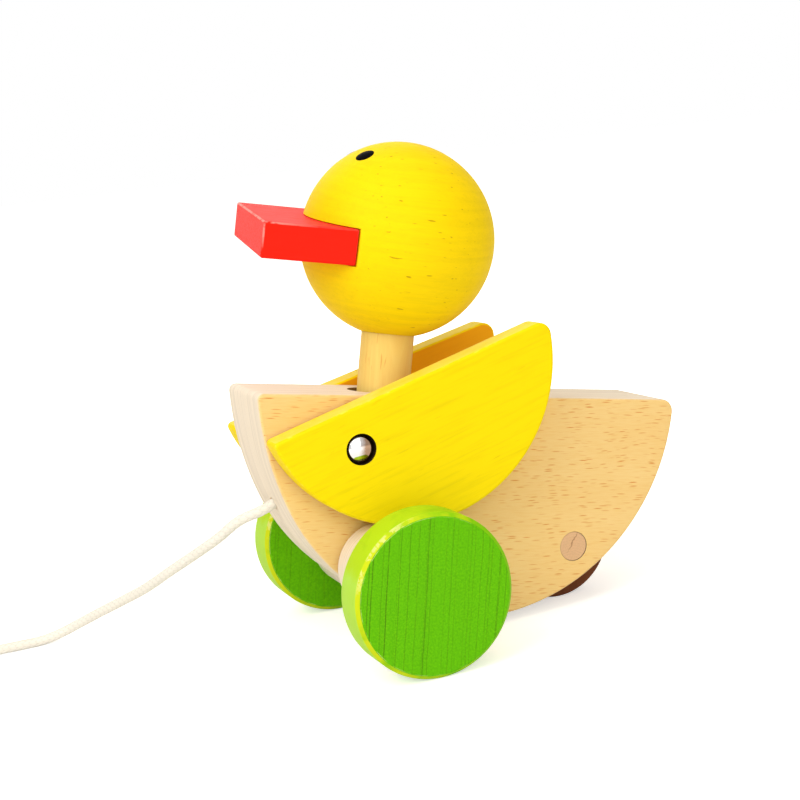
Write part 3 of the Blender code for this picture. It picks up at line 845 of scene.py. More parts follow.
def dowel(name, place, colours, along):
    """Bare dowel, its grain along one of its own axes."""
    finish = Finish(name, {"Roughness": 0.55, GLOSS: 0.12})
    vector = finish.space(place @ turn_to(AHEAD, along))
    figure = figure_of(vector, spacing=1.1, length=5.0, height=0.45, start=0.69)
    shown = (figure["Lines"] * 0.4).between(colours.dowel, deeper(colours.dowel, 0.66))
    shown = (figure["Flecks"] * 0.5).between(shown, colours.beech_fleck)
    fibres = figure["Fibre"].spread(0.35, 0.7, 0.0, 0.25)
    finish.raise_grain(figure["Fibre"], 0.00006)
    return finish.painted(fibres.between(shown, deeper(colours.dowel, 0.8)))


def stained(
    name,
    place,
    stain,
    along,
    through,
    *,
    spacing,
    lines,
    streaks,
    flecks,
    fleck_start=0.68,
    fleck_ends=100.0,
    worn=0.0,
):
    """A clear stain: the timber's lines and flecks show through, and rubbed edges are paler.

    The grain runs along one way, its layers lie through another, and the flecks fade out
    towards the cut ends. Gives the finish, its place in the grain, and its colour so far.
    """
    finish = Finish(name, {GLOSS: 0.08})
    axes = Matrix((along, through, along.cross(through))).transposed().to_4x4()
    vector = finish.space(place @ axes)
    figure = figure_of(vector, spacing, length=6.0, height=0.7, start=fleck_start)
    shown = (figure["Lines"] * lines).between(stain, darker(stain, 0.72))
    shown = (figure["Streaks"] * streaks).between(shown, darker(stain, 0.74))
    reach = abs(vector.parts()[0])
    flecked = figure["Flecks"] * reach.spread(fleck_ends, fleck_ends + 9, flecks, 0.0)
    shown = flecked.between(shown, (stain[0] * 0.45, stain[1] * 0.32, stain[2] * 0.5))
    fibres = figure["Fibre"].spread(0.35, 0.7, 0.0, lines * 0.7)
    shown = fibres.between(shown, darker(stain, 0.8))
    if worn:
        pale = tuple(min(1.0, value + 0.16) for value in stain[:3])
        shown = (finish.rubbed(vector) * worn).between(shown, pale)
    finish.give("Roughness", figure["Fibre"].spread(0.3, 0.7, 0.52, 0.66))
    finish.raise_grain(figure["Fibre"] - figure["Flecks"], 0.00005)
    return finish, vector, shown


def ball_stain(name, place, colours):
    """Yellow stain of the head, with a few dark ticks in its level grain."""
    red, green, blue = colours.yellow
    golden = (red, green * 0.93, blue)
    grain = {"spacing": 1.5, "lines": 0.24, "streaks": 0.26, "flecks": 0.85}
    grain.update({"fleck_start": 0.7, "fleck_ends": 11.0})
    finish, _, shown = stained(name, place, golden, AHEAD, UP, **grain)
    return finish.painted(shown)


def wing_stain(name, place, colours, side):
    """Yellow stain of a wing: painted shade on the wall of the sunk hole for its cap and on the
    inner face, and a painted highlight on top.
    """
    grain = {"spacing": 2.2, "lines": 0.08, "streaks": 0.4, "flecks": 0.15}
    grain.update({"fleck_start": 0.72, "worn": 0.45})
    finish, vector, shown = stained(name, place, colours.yellow, AHEAD, LEFT, **grain)
    facing = finish.written("side")
    # painted shade: the face towards the body is taken orange
    inner = facing > 0.75
    shown = (inner * 0.65).between(shown, WING_INNER_SHADE)
    # painted highlight: paler patches on the straight top edge
    top_highlight = vector.noise(0.2, 3.0, 0.6).spread(0.35, 0.65, 0.25, 0.7)
    shown = (((facing > 0.25) - inner) * top_highlight).between(shown, WING_TOP_HIGHLIGHT)
    x, y, z = finish.space(place).parts()
    # painted shade: the wall of the sunk hole is taken near black
    wall = (reach_of(x, z) < MM * SINK_RADIUS + 0.06) * (y * side < MM * WING_OUT - 0.08)
    return finish.painted(wall.between(shown, SINK_PAINTED_SHADE))


def straight_lines(across, scale, half_width, share):
    """Thin dark lines at uneven places along a value, some of them faint."""
    off, chance = across.cells("W", scale, voronoi_dimensions="1D")
    line = (off / scale).spread(half_width * 0.4, half_width, share, 0.0)
    return line * chance.spread(0.1, 0.8, 0.4, 1.0)


def green_stain(name, place, colours, lined):
    """Green stain: straight dark lines down the faces, paler on the chamfer and the rim. Rim and
    chamfer carry painted light towards the front, a painted shadow on the rim's top, and pale
    chips and crease that are partly a painted highlight.
    """
    grain = {"spacing": 2.6, "lines": 0.16, "streaks": 0.12, "flecks": 0.1}
    finish, _, shown = stained(name, place, colours.green, UP, AHEAD, **grain)
    own = finish.space(place)
    x, _, z = own.parts()
    across = x + (own.noise(0.05, 1.0) - 0.5) * 1.2
    broken = own.noise(0.25).spread(0.3, 0.5, 0.4 * lined, lined)
    for scale, half_width, share in ((0.19, 0.24, 0.85), (0.33, 0.17, 0.6)):
        lines = straight_lines(across, scale, half_width, share)
        shown = (lines * broken).between(shown, GREEN_LINE)
    mottle = own.noise(1.6, 3.0, 0.65)
    shown = mottle.spread(0.5, 0.75, 0.0, 0.7).between(shown, darker(colours.green, 0.66))
    shown = mottle.spread(0.5, 0.25, 0.0, 0.7).between(shown, GREEN_PALE)
    turn = finish.written("side")
    # painted light: the front of the wheel is paler, the back darker
    lit_front = (x * 0.011 + own.noise(0.12, 3.0, 0.6)).spread(0.36, 0.66)
    # painted shadow: the top of the rim, under the wing, is darker and yellower
    high = (own.noise(0.15) * 6.0 + z).spread(7.0, 10.0)
    # painted light: the rim is paler towards the front
    rim = (turn < RIM_TURN) * lit_front.spread(0.0, 1.0, 0.62, 0.98)
    shown = rim.between(shown, high.between(colours.green_rim, RIM_WING_SHADOW))
    # partly chips and partly a painted highlight, only at the top front of the chamfer
    chips_and_highlight = own.noise(0.4, 3.0, 0.7).spread(0.49, 0.56)
    chips_and_highlight = chips_and_highlight * (z.spread(0.0, 5.0) * x.spread(7.0, 14.0))
    bare = chips_and_highlight.between(lit_front.between(CHAMFER_SHADED, CHAMFER_LIT), CHAMFER_CHIPS_AND_HIGHLIGHT)
    shown = (abs(turn - CHAMFER_TURN) < 0.12).between(shown, bare)
    # the pale crease line, partly wear and partly a painted highlight, is strongest at the front
    patches = own.noise(0.35, 3.0, 0.6).spread(0.4, 0.6, 0.0, 0.5)
    crease = (abs(turn - CREASE_TURN) < 0.07) * (patches * lit_front)
    return finish.painted(crease.between(shown, WHEEL_CREASE_WEAR_AND_HIGHLIGHT))


def red_stain(name, place, colours):
    """Red stain of the bill, with a paler painted sheen on its top and front, and pale edges that
    are partly rubbed and partly a painted highlight.
    """
    grain = {"spacing": 1.2, "lines": 0.14, "streaks": 0.15, "flecks": 0.1}
    finish, vector, shown = stained(name, place, colours.red, AHEAD, UP, **grain)
    ahead = vector.parts()[0]
    streaks = vector.stretched(0.1, 1.6, 1.6).noise().spread(0.35, 0.65, 0.3, 0.85)
    # painted sheen on the top and front faces
    sheen_share = finish.written("side") * streaks * ahead.spread(22, 36, 0.35, 1.0)
    shown = sheen_share.between(shown, RED_SHEEN)
    # pale edges, partly wear and partly a painted highlight, strongest at the front
    edge = finish.rubbed(vector, 0.05) * ahead.spread(30, 44, 0.1, 0.75)
    return finish.painted(edge.between(shown, RED_RUBBED_AND_HIGHLIGHT))


def brown_stain(name, place, colours):
    """Dark brown stain of the tail roller."""
    grain = {"spacing": 1.4, "lines": 0.35, "streaks": 0.2, "flecks": 0.2, "worn": 0.3}
    finish, _, shown = stained(name, place, colours.brown, UP, AHEAD, **grain)
    return finish.painted(shown)


def dowel_end(name, place):
    """Dowel cut off flush: rings of end grain and one drying crack right across."""
    finish = Finish(name, {"Roughness": 0.6, GLOSS: 0.25})
    own = finish.space(place)
    x, _, z = own.parts()
    rings = (reach_of(x, z + 9.0) * 7.0).math("SINE")
    shown = rings.spread(-1, 1, 0.0, 0.16).between(END_GRAIN, darker(END_GRAIN, 0.7))
    fine = own.noise(4.0).spread(0.4, 0.7, 0.0, 0.3)
    shown = fine.between(shown, darker(END_GRAIN, 0.62))
    sway = (own.noise(0.5) - 0.5) * 1.6
    off = abs(x * 0.89 + z * 0.46 - 0.9 + sway)
    crack = off.spread(0.06, 0.24, 0.7, 0.0) * z.spread(-2.6, 0.5)
    finish.raise_grain(figure_of(own, spacing=1.2)["Fibre"] - crack, 0.00015)
    return finish.painted(crack.between(shown, END_CRACK))


def black_paint(name):
    """Black paint of the eyes."""
    finish = Finish(name, {GLOSS: 0.004})
    specks = finish.space().noise(1.2)
    finish.give("Roughness", specks.spread(0.3, 0.7, 0.28, 0.5))
    return finish.painted(specks.between(BLACK, BLACK_SPECK))


def bright_metal(name, metal, smooth, rough, reflection_share=0.0):
    """Steel or chrome with faint turning marks, and a warm painted reflection towards the tail."""
    finish = Finish(name, {"Metallic": 1.0})
    marks = finish.space().noise(2.0, 3.0, 0.6)
    shown = marks.between(metal, darker(metal, 0.92))
    # painted reflection: warm brown towards the tail side
    if reflection_share:
        behind = finish.space(STANCE @ Matrix.Translation(WING_PLACE)).parts()[0]
        warm = (marks * 1.6 + behind).spread(1.4, -0.6, 0.0, reflection_share)
        shown = warm.between(shown, WARM_REFLECTION)
    finish.give("Roughness", marks.spread(0.3, 0.7, smooth, rough))
    return finish.painted(shown)


def braided_cotton(name, cotton, strands_round):
    """Raw cotton braid that follows the cord's UV map, darker between its strands as painted
    shade.
    """
    finish = Finish(name, {"Roughness": 0.95, GLOSS: 0.15, "Sheen Weight": 0.2})
    u, v, _ = worked(finish.tree, "UVMap", {}, uv_map="UVMap").parts()
    turn = u * (strands_round * pi)
    along = v * pi
    strands = abs((turn + along).math("SINE")) * abs((turn - along).math("SINE"))
    strands = strands.math("SQRT")
    fluff = finish.space().noise(2.2, 3.0, 0.6)
    # painted shade: darker in the grooves between the strands
    shown = strands.spread(0.05, 0.6).between(darker(cotton, 0.84), cotton)
    shown = fluff.spread(0.4, 0.75, 0.0, 0.3).between(shown, darker(cotton, 0.85))
    finish.raise_grain(fluff * 0.3 + strands, 0.00015, strength=0.45)
    return finish.painted(shown)


# Pieces


class DuckPiece:
    """What the operators of the pieces share."""

    bl_options = {"REGISTER", "UNDO"}

    def settings(self, context):
        """The sizes and the colours."""
        return context.scene.duck_sizes, context.scene.duck_colours


class DUCK_OT_cord(DuckPiece, bpy.types.Operator):
    """Lays the pull cord, its coil, the knot on its end and the tie on the coil."""

    bl_idname = "duck.cord"
    bl_label = "Pull cord"

    def execute(self, context):
        sizes, colours = self.settings(context)
        leave = STANCE.to_3x3() @ CORD_WAY
        exit_point = STANCE @ BODY_ARC + BODY_RADIUS * leave
        coil_start = COIL_CENTRE + Vector((-2 * CORD_RADIUS, -COIL_RADIUS, CORD_LIE))
        route = [exit_point - CORD_INSIDE * leave, exit_point]
        route.append(exit_point + 3 * CORD_RADIUS * leave)
        route += [Vector(place) for place in CORD_ROUTE]
        route.append(coil_start - Vector((GAP, 0, 0)))
        run = smooth_run(route, CORD_STEP)
        run += self.coil(coil_start)
        finish = braided_cotton("cotton_braid", colours.cotton, CORD_STRANDS)
        mesh = swept(run, CORD_RADIUS, CORD_SIDES, sizes.braid_lay)
        cord = settle("cord", mesh, Matrix(), "body", "cotton", finish, "pull_cord", "cord_coil")
        mesh = swept(self.knot(run[-1]), CORD_RADIUS, CORD_SIDES, sizes.braid_lay)
        knot = settle("knot", mesh, Matrix(), "body", "cotton", finish, "cord_knot")
        finish = braided_cotton("twine", darker(colours.cotton, 0.8), TWINE_STRANDS)
        mesh = swept(self.tie(), TWINE_RADIUS, TWINE_SIDES, TWINE_LAY)
        tie = settle("tie", mesh, Matrix(), "body", "cotton", finish)
        run_lengths(run)[-1]
        return {"FINISHED"}

    def coil(self, start):
        """Two flat layers of turns, and the half turn that leads off to the knot."""
        turns = 2 * COIL_TURNS
        knot_lie = KNOT_RADIUS + CORD_LIE - CORD_RADIUS
        loops = [start]
        for i in range(round((turns + COIL_TAIL) * COIL_POINTS) + 1):
            s = i / COIL_POINTS
            radius = COIL_INNER + COIL_STEP * abs(s - COIL_TURNS)
            height = CORD_LIE + COIL_STEP * ramp(2 * (s - COIL_TURNS) + 0.5)
            if s > turns:
                radius = COIL_RADIUS + 2 * COIL_STEP * (s - turns)
                height += (knot_lie - height) * ramp((s - turns) / COIL_TAIL)
            angle = 2 * pi * s - pi / 2
            loops.append(COIL_CENTRE + Vector((radius * cos(angle), radius * sin(angle), height)))
        loops.append(loops[-1] - Vector((2 * CORD_RADIUS, 0, 0)))
        return loops

    def knot(self, start):
        """A stopper knot: two tight turns round the cord, and its short tail."""
        reach = KNOT_RADIUS - CORD_RADIUS
        steps = 120
        tail_steps = 8
        points = [start]
        for i in range(steps + 1):
            share = i / steps
            out = reach * ramp(share / KNOT_SWING) * ramp((1 - share) / KNOT_SWING)
            angle = KNOT_TURNS * 2 * pi * share + pi / 2
            passed = KNOT_CROWDING * ramp(share) + (1 - KNOT_CROWDING) * share
            along = KNOT_END + (KNOT_LENGTH - 2 * KNOT_END) * passed
            points.append(start + Vector((-along, out * cos(angle), out * sin(angle))))
        for i in range(1, tail_steps + 1):
            share = i / tail_steps
            along = KNOT_LENGTH + KNOT_TAIL * share
            points.append(start + Vector((-along, 0, -reach * ramp(share))))
        return points

    def tie(self):
        """Turns of twine round the coil's strands."""
        strands = []
        for s in TIE_OVER:
            height = CORD_LIE + (COIL_STEP if s > COIL_TURNS else 0)
            strands.append((COIL_INNER + COIL_STEP * abs(s - COIL_TURNS), height))
        bends = (-pi, -pi / 2, -pi / 6, pi / 2, pi)
        steps = 6
        once = []
        for (x, z), start, end in zip(strands, bends, bends[1:]):
            for i in range(steps + 1):
                angle = start + (end - start) * i / steps
                height = max(z + TIE_REACH * sin(angle), TWINE_LIE)
                once.append((x + TIE_REACH * cos(angle), height))
        total = TIE_TURNS * len(once)
        points = []
        for i in range(total + 1):
            out, height = once[i % len(once)]
            aside = TIE_WIDTH * (i / total - 0.5)
            points.append(COIL_CENTRE + Vector((-out, aside, height)))
        return points


class DUCK_OT_body(DuckPiece, bpy.types.Operator):
    """Saws the body block, with its slots and bores."""

    bl_idname = "duck.body"
    bl_label = "Body block"

    def execute(self, context):
        sizes, colours = self.settings(context)
        edge = sizes.board_edge
        back = BODY_RADIUS - NOSE_RADIUS
        nose_centre = (back * cos(NOSE_ANGLE), back * sin(NOSE_ANGLE) + BODY_ARC.z)
        nose = (nose_centre, NOSE_RADIUS, NOSE_ANGLE, NOSE_CORNER)
        arcs = half_disc((0, BODY_ARC.z), BODY_RADIUS, 0, nose, TAIL_CORNER, BODY_STEPS)
        mesh = carved(plate(arcs, 2 * BODY_HALF, edge), self.cutters(sizes.facets))
        shade(mesh, LEFT, RIGHT, UP)
        mark_wear(mesh, lambda co: band((BODY_HALF - abs(co.y)) / edge))
        mark_faces(mesh, "side", lambda face: min(1, max(0, 1.6 * abs(face.normal.y) - 0.2)))
        # faces on the walls of slots and bores, for the painted shade in the beech
        mark_faces(mesh, "inside", self.hidden)
        finish = beech("beech_board", STANCE, colours)
        settle("body", mesh, STANCE, "body", "beech", finish, "body_block")
        return {"FINISHED"}

    def hidden(self, face):
        """Whether a face is a wall of a slot or bore, which gets painted shade."""
        co = face.center
        within = hypot(co.x, co.z - BODY_ARC.z) < BODY_RADIUS - ROUND_SKIN and co.x > TAIL_END
        return within and co.z < -GAP and abs(co.y) < BODY_HALF - SIDE_SKIN

    def cutters(self, facets):
        """The neck's slot, the roller's slot, and the bores."""
        through = 2 * BODY_HALF
        depth = -NECK_PIVOT.z
        run = tan(NOD) * depth + NECK_ROOM - GAP
        wide = NECK_RADIUS + GAP
        floor = depth + NECK_BELOW + NECK_RADIUS * tan(NOD) + NECK_ROOM
        front = (run, 0, wide, pi / 2, -pi / 2, SLOT_STEPS)
        rear = (-run, 0, wide, -pi / 2, -3 * pi / 2, SLOT_STEPS)
        slot = plate([front, rear], 2 * floor)
        middle = Matrix.Translation((NECK_PIVOT.x - tan(NECK_LEAN) * depth, 0, 0))
        upright = middle @ Matrix.Rotation(pi / 2, 4, "X")
        bmesh.ops.transform(slot, matrix=upright, verts=slot.verts[:])
        cutters = [slot]
        bores = (
            (NECK_PIVOT, NECK_PIN_BORE, through),
            (WING_PLACE, PIN_BORE, through),
            (AXLE_PLACE, AXLE_RADIUS + GAP, through),
            (TAIL_PLACE, DOWEL_RADIUS + DOWEL_FIT, through),
            (TAIL_PLACE, ROLLER_RADIUS + ROLLER_ROOM, SLOT_HALF),
        )
        for place, radius, half in bores:
            cutters.append(rod(radius, -half, half, facets, Matrix.Translation(place) @ ALONG_Y))
        hole = CORD_RADIUS + GAP
        flare = [(0, FLARE_LENGTH), (FLARE_RADIUS, FLARE_LENGTH), (hole, -GAP)]
        flare += [(hole, -CORD_HOLE), (0, -CORD_HOLE)]
        mouth = Matrix.Translation(BODY_ARC + BODY_RADIUS * CORD_WAY) @ turn_to(UP, CORD_WAY)
        cutters.append(turned(flare, SMALL, mouth))
        return cutters


class DUCK_OT_neck(DuckPiece, bpy.types.Operator):
    """Turns the neck dowel."""

    bl_idname = "duck.neck"
    bl_label = "Neck"

    def execute(self, context):
        sizes, colours = self.settings(context)
        work = rod(NECK_RADIUS, -NECK_BELOW, NECK_TOP, sizes.facets)
        soften(work, NECK_EDGE, 3)
        through = 2 * NECK_RADIUS
        mesh = carved(work, [rod(NECK_PIN_BORE, -through, through, SMALL, ALONG_Y)])
        shade(mesh, UP, DOWN)
        finish = dowel("neck_dowel_beech", HEAD, colours, UP)
        settle("neck", mesh, HEAD, "head", "dowel", finish, "neck_dowel")
        return {"FINISHED"}


class DUCK_OT_head(DuckPiece, bpy.types.Operator):
    """Turns the head ball, with the slot for its bill and the socket for its neck."""

    bl_idname = "duck.head"
    bl_label = "Head ball"

    def execute(self, context):
        sizes, colours = self.settings(context)
        work = bmesh.new()
        bmesh.ops.create_uvsphere(
            work, u_segments=sizes.facets, v_segments=sizes.facets // 2, radius=BALL_RADIUS
        )
        size = Vector((MOUTH_FRONT - BILL_BACK + GAP, MOUTH_WIDTH, BILL_THICKNESS + 2 * GAP))
        mouth = block(Vector((BILL_BACK - GAP + size.x / 2, 0, -BILL_DROP)), size)
        to_neck = FACE_TURN.inverted() @ Matrix.Translation(-BALL_PLACE)
        socket_place = to_neck @ Matrix.Translation((0, 0, BALL_PLACE.z))
        socket = rod(NECK_RADIUS + GAP, -SOCKET_FOOT, -SOCKET_TOP, LARGE, socket_place)
        mesh = carved(work, [mouth, socket])
        shade(mesh)
        finish = ball_stain("yellow_ball", FACE, colours)
        settle("head", mesh, FACE, "head", "yellow", finish, "head_ball")
        return {"FINISHED"}


class DUCK_OT_bill(DuckPiece, bpy.types.Operator):
    """Saws the bill and eases its edges."""

    bl_idname = "duck.bill"
    bl_label = "Bill"

    def execute(self, context):
        sizes, colours = self.settings(context)
        half = Vector((BILL_FRONT - BILL_BACK, BILL_WIDTH, BILL_THICKNESS)) / 2
        middle = Vector(((BILL_FRONT + BILL_BACK) / 2, 0, -BILL_DROP))
        work = block(middle, 2 * half)
        soften(work, sizes.bill_edge, 4)
        mesh = carved(work)
        shade(mesh, AHEAD, -AHEAD, LEFT, RIGHT, UP, DOWN)
        mark_wear(mesh, lambda co: self.worn(co - middle, half))
        # top and front faces, which get the painted sheen
        mark_faces(mesh, "side", lambda face: max(face.normal.x, face.normal.z) > 0.9)
        finish = red_stain("red_bill", FACE, colours)
        settle("bill_block", mesh, FACE, "head", "red", finish, "bill")
        return {"FINISHED"}

    def worn(self, co, half):
        """Rubbed off the six flat faces, and most round the top, where the pale edge is also a
        painted highlight.
        """
        if any(half[i] - abs(co[i]) < SAME_POINT for i in range(3)):
            return 0.0
        return 1.0 if co.z > 0.5 * half.z else 0.12


class DUCK_OT_eyes(DuckPiece, bpy.types.Operator):
    """Turns the two domed eye studs."""

    bl_idname = "duck.eyes"
    bl_label = "Eyes"

    def execute(self, context):
        curve = hypot(EYE_RADIUS, EYE_DOME) ** 2 / (2 * EYE_DOME)
        steps = 10
        angles = [asin(EYE_RADIUS / curve) * i / steps for i in range(steps + 1)]
        profile = [(curve * sin(a), EYE_DOME - curve * (1 - cos(a))) for a in angles]
        profile += [(EYE_RADIUS, -EYE_RIM), (EYE_STEM_RADIUS, -EYE_SHOULDER)]
        profile += [(EYE_STEM_RADIUS, -EYE_STEM_LENGTH), (0, -EYE_STEM_LENGTH)]
        finish = black_paint("black_eye")
        for name in SIDES:
            place = turn_to(UP, EYE_TOWARDS[name])
            place = place @ Matrix.Translation((0, 0, BALL_RADIUS - EYE_SINK))
            mesh = carved(turned(profile, MIDDLING, place))
            shade(mesh)
            settle("eye_stud_" + name, mesh, FACE, "head", "black", finish, "eye_" + name)
        return {"FINISHED"}


class DUCK_OT_wings(DuckPiece, bpy.types.Operator):
    """Saws the wings, with their sunk holes and the hollow over the drums."""

    bl_idname = "duck.wings"
    bl_label = "Wings"

    def execute(self, context):
        sizes, colours = self.settings(context)
        edge = sizes.wing_edge
        half = (WING_OUT - WING_IN) / 2
        for name, side in SIDES.items():
            below = WING_PIN_BELOW[name]
            middle = (-WING_PIN_AHEAD, below + WING_ARC_RISE)
            nose = (middle, WING_RADIUS, WING_NOSE_ANGLE, WING_FRONT_CORNER)
            arcs = half_disc(middle, WING_RADIUS, below, nose, WING_REAR_CORNER, WING_STEPS)
            work = plate(arcs, 2 * half, edge)
            bmesh.ops.translate(work, verts=work.verts[:], vec=(0, side * (WING_IN + half), 0))
            mesh = carved(work, self.cutters(name, sizes.facets))
            shade(mesh, LEFT, RIGHT, UP)
            mark_wear(mesh, lambda co: band((half - abs(abs(co.y) - WING_IN - half)) / edge))
            mark_faces(mesh, "side", lambda face: self.facing(face, side))
            hinge = Matrix.Translation(WING_PLACE) @ Matrix.Rotation(WING_SLOPES[name], 4, "Y")
            place = STANCE @ hinge
            finish = wing_stain("yellow_wing_" + name, place, colours, side)
            body = name + "_wing"
            settle("wing_board_" + name, mesh, place, body, "yellow", finish, "wing_" + name)
        return {"FINISHED"}

    def cutters(self, name, facets):
        """The sunk hole, the bore, and the drum's sweep at three heights of the wing."""
        flip = OUTWARDS[name]
        top = WING_OUT + GAP
        cutters = [rod(SINK_RADIUS, WING_OUT - SINK_DEPTH, top, LARGE, flip)]
        cutters.append(rod(PIN_BORE, 0, top, SMALL, flip))
        for share in (0, 0.5, 1):
            raised = Matrix.Rotation(-WING_SLOPES[name] - share * WING_RAISE, 4, "Y")
            axle = Matrix.Translation(raised @ (AXLE_PLACE - WING_PLACE))
            cutters.append(rod(DRUM_SWEEP, WING_IN - GAP, top, facets, axle @ flip))
        return cutters

    def facing(self, face, side):
        """One on the face towards the body, which gets painted shade, and a half on the straight
        top edge, which gets a painted highlight.
        """
        if face.normal.y * side < -0.9:
            return 1.0
        return 0.5 if face.normal.z > 0.9 else 0.0


class DUCK_OT_caps(DuckPiece, bpy.types.Operator):
    """Presses the domed caps, and finishes the pins and washers."""

    bl_idname = "duck.caps"
    bl_label = "Pins and caps"

    def execute(self, context):
        chrome = bright_metal("chrome", CHROME, 0.04, 0.10, 0.9)
        steel = bright_metal("steel", STEEL, 0.25, 0.42)
        steps = 16
        angles = [i * pi / (2 * steps) for i in range(steps + 1)]
        profile = [(CAP_RADIUS * sin(a), CAP_RIM + CAP_DOME * cos(a)) for a in angles]
        profile += [(CAP_RADIUS, CAP_LIP), (CAP_RADIUS - CAP_LIP, 0), (PIN_BORE, 0)]
        profile += [(PIN_BORE, CAP_HOLE), (0, CAP_HOLE)]
        for name in SIDES:
            place = Matrix.Translation(WING_PLACE) @ OUTWARDS[name]
            place = place @ Matrix.Translation((0, 0, CAP_FOOT))
            mesh = carved(turned(profile, LARGE, place))
            shade(mesh)
            settle("cap_" + name, mesh, STANCE, "body", "chrome", chrome, "wing_cap_" + name)
        dress(steel, "wing_pin", "neck_pin", "wing_washer_left", "wing_washer_right")
        dress(steel, "axle_washer_left", "axle_washer_right")
        return {"FINISHED"}


class DUCK_OT_wheels(DuckPiece, bpy.types.Operator):
    """Turns the front wheels."""

    bl_idname = "duck.wheels"
    bl_label = "Front wheels"

    def execute(self, context):
        sizes, colours = self.settings(context)
        for name, flip in OUTWARDS.items():
            work = rod(WHEEL_RADIUS, WHEEL_IN, WHEEL_OUT, sizes.facets, flip)
            soften(work, sizes.wheel_edge, 1)
            soften(work, WHEEL_EASE, 2, radians(30))
            bore = rod(AXLE_RADIUS + GAP, 0, WHEEL_IN + WHEEL_BORE_DEPTH, MIDDLING, flip)
            mesh = carved(work, [bore])
            shade(mesh, LEFT, RIGHT)
            mark_faces(mesh, "side", lambda face: abs(face.normal.y))
            finish = green_stain("green_wheel_" + name, AXLE, colours, WHEEL_LINES[name])
            settle("wheel_disc_" + name, mesh, AXLE, "wheelset", "green", finish, "wheel_" + name)
        return {"FINISHED"}


class DUCK_OT_drums(DuckPiece, bpy.types.Operator):
    """Turns the drums that sit off centre on the axle, and finishes the axle."""

    bl_idname = "duck.drums"
    bl_label = "Drums and axle"

    def execute(self, context):
        sizes, colours = self.settings(context)
        for name, flip in OUTWARDS.items():
            phase = DRUM_PHASES[name]
            lobe = Matrix.Translation((DRUM_OFFSET * cos(phase), 0, DRUM_OFFSET * sin(phase)))
            work = rod(DRUM_RADIUS, DRUM_IN, DRUM_OUT, sizes.facets, lobe @ flip)
            soften(work, sizes.drum_edge, 4)
            mesh = carved(work, [rod(AXLE_RADIUS + GAP, 0, WHEEL_OUT, MIDDLING, flip)])
            shade(mesh, LEFT, RIGHT)
            mark_faces(mesh, "side", lambda face: 0.35 if abs(face.normal.y) > 0.99 else 0.0)
            grain = AXLE @ Matrix.Rotation(DRUM_GRAIN, 4, "Y")
            finish = beech("beech_drum_" + name, grain, colours)
            settle("drum_" + name, mesh, AXLE, "wheelset", "beech", finish, "cam_" + name)
        dress(dowel("axle_dowel_beech", AXLE, colours, LEFT), "wheel_axle")
        return {"FINISHED"}


class DUCK_OT_tail(DuckPiece, bpy.types.Operator):
    """Turns the tail roller and cuts off its dowel flush."""

    bl_idname = "duck.tail"
    bl_label = "Tail roller"

    def execute(self, context):
        sizes, colours = self.settings(context)
        bore = DOWEL_RADIUS + GAP
        profile = [(bore, ROLLER_HALF), (ROLLER_RADIUS, ROLLER_HALF)]
        profile += [(radius, -height) for radius, height in reversed(profile)]
        work = turned(profile, sizes.facets, ALONG_Y, hollow=True)
        soften(work, ROLLER_EDGE, 4)
        mesh = carved(work)
        shade(mesh, LEFT, RIGHT)
        mark_wear(mesh, lambda co: band((ROLLER_HALF - abs(co.y)) / ROLLER_EDGE))
        finish = brown_stain("brown_roller", TAIL, colours)
        settle("roller_disc", mesh, TAIL, "roller", "brown", finish, "tail_roller")
        half = BODY_HALF - DOWEL_SHORT
        work = rod(DOWEL_RADIUS, -half, half, LARGE, ALONG_Y)
        soften(work, DOWEL_EDGE, 2)
        mesh = carved(work)
        shade(mesh, LEFT, RIGHT)
        finish = dowel_end("dowel_end_beech", TAIL)
        settle("tail_dowel", mesh, TAIL, "body", "dowel", finish, "tail_axle")
        return {"FINISHED"}


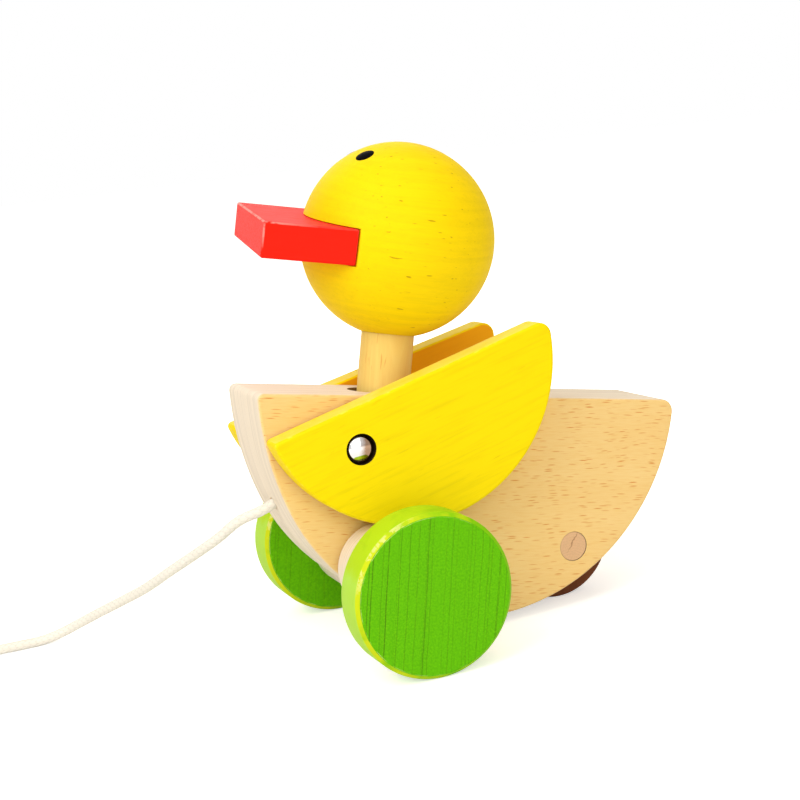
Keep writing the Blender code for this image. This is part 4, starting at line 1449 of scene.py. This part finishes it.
class DUCK_OT_stage(bpy.types.Operator):
    """Sets up the camera, the lamps, the floor and the sky."""

    bl_idname = "duck.stage"
    bl_label = "Stage"

    def execute(self, context):
        scene = context.scene
        scene.view_settings.view_transform = "Standard"
        camera = linked("camera", bpy.data.cameras.new("camera"))
        camera.data.lens = CAMERA_LENS
        camera.data.sensor_width = CAMERA_SENSOR
        camera.data.clip_start = CAMERA_NEAREST
        camera.location = CAMERA_PLACE
        camera.rotation_euler = CAMERA_TURN
        scene.camera = camera
        for name, (place, size, power) in LAMPS.items():
            self.lamp(name, Vector(place), size, power)
        self.floor()
        self.world(scene)
        return {"FINISHED"}

    def lamp(self, name, place, size, power):
        """A soft square lamp that faces the duck."""
        made = linked(name, bpy.data.lights.new(name, "AREA"))
        made.data.shape = "SQUARE"
        made.data.size = size
        made.data.energy = power
        made.location = place
        made.rotation_euler = (LAMP_TARGET - place).to_track_quat("-Z", "Y").to_euler()

    def seen_share(self, tree):
        """One where the floor or the sky is seen directly, or in metal or glass."""
        path = add(tree, "LightPath", {}).outputs
        kinds = ("Camera", "Glossy", "Transmission")
        direct, glossy, through = (Value(tree, path[f"Is {kind} Ray"]) for kind in kinds)
        return direct.math("MAXIMUM", glossy).math("MAXIMUM", through)

    def floor(self):
        """A white floor that keeps the duck's shadow."""
        work = bmesh.new()
        bmesh.ops.create_grid(work, x_segments=1, y_segments=1, size=FLOOR_SIZE)
        made = as_object("floor", work)
        paint = bpy.data.materials.new("floor_white")
        paint.use_nodes = True
        tree = paint.node_tree
        tree.nodes.remove(tree.nodes["Principled BSDF"])
        x, y, _ = worked(tree, "TexCoord", {}, "Object").parts()
        lift = self.seen_share(tree) * reach_of(x, y).spread(*SHADOW_FADE, FLOOR_GLOW, 1.0)
        matt = worked(tree, "BsdfDiffuse", {"Color": FLOOR_WHITE})
        glow = worked(tree, "Emission", {"Color": WHITE, "Strength": lift})
        both = worked(tree, "AddShader", {0: matt, 1: glow})
        put(tree, tree.nodes["Material Output"].inputs["Surface"], both)
        made.data.materials.append(paint)

    def world(self, scene):
        """An even white sky, at full strength only where it is seen."""
        sky = bpy.data.worlds.new("sky")
        sky.use_nodes = True
        scene.world = sky
        tree = sky.node_tree
        seen = self.seen_share(tree)
        light = tree.nodes["Background"].inputs
        put(tree, light["Color"], seen.between(FILL_LIGHT, WHITE))
        put(tree, light["Strength"], seen.spread(0, 1, FILL_STRENGTH, 1.0))


class DUCK_PT_panel(bpy.types.Panel):
    """Lists the duck's pieces."""

    bl_idname = "DUCK_PT_panel"
    bl_label = "Pull-along duck"
    bl_space_type = "VIEW_3D"
    bl_region_type = "UI"
    bl_category = "Duck"

    def draw(self, context):
        layout = self.layout
        for step in STEPS:
            layout.operator(step.bl_idname)
        for group in (context.scene.duck_sizes, context.scene.duck_colours):
            column = layout.column(align=True)
            for key in group.bl_rna.properties.keys():
                if key not in ("rna_type", "name"):
                    column.prop(group, key)


STEPS = (
    DUCK_OT_stage,
    DUCK_OT_cord,
    DUCK_OT_body,
    DUCK_OT_neck,
    DUCK_OT_head,
    DUCK_OT_bill,
    DUCK_OT_eyes,
    DUCK_OT_wings,
    DUCK_OT_caps,
    DUCK_OT_wheels,
    DUCK_OT_drums,
    DUCK_OT_tail,
)
CLASSES = (DuckSizes, DuckColours, *STEPS, DUCK_PT_panel)


def register():
    for made in CLASSES:
        bpy.utils.register_class(made)
    bpy.types.Scene.duck_sizes = PointerProperty(type=DuckSizes)
    bpy.types.Scene.duck_colours = PointerProperty(type=DuckColours)


def unregister():
    del bpy.types.Scene.duck_colours
    del bpy.types.Scene.duck_sizes
    for made in reversed(CLASSES):
        bpy.utils.unregister_class(made)


def main():
    register()
    bpy.ops.duck.stage()
    bpy.ops.duck.cord()
    bpy.ops.duck.body()
    bpy.ops.duck.neck()
    bpy.ops.duck.head()
    bpy.ops.duck.bill()
    bpy.ops.duck.eyes()
    bpy.ops.duck.wings()
    bpy.ops.duck.caps()
    bpy.ops.duck.wheels()
    bpy.ops.duck.drums()
    bpy.ops.duck.tail()


if __name__ == "__main__":
    main()
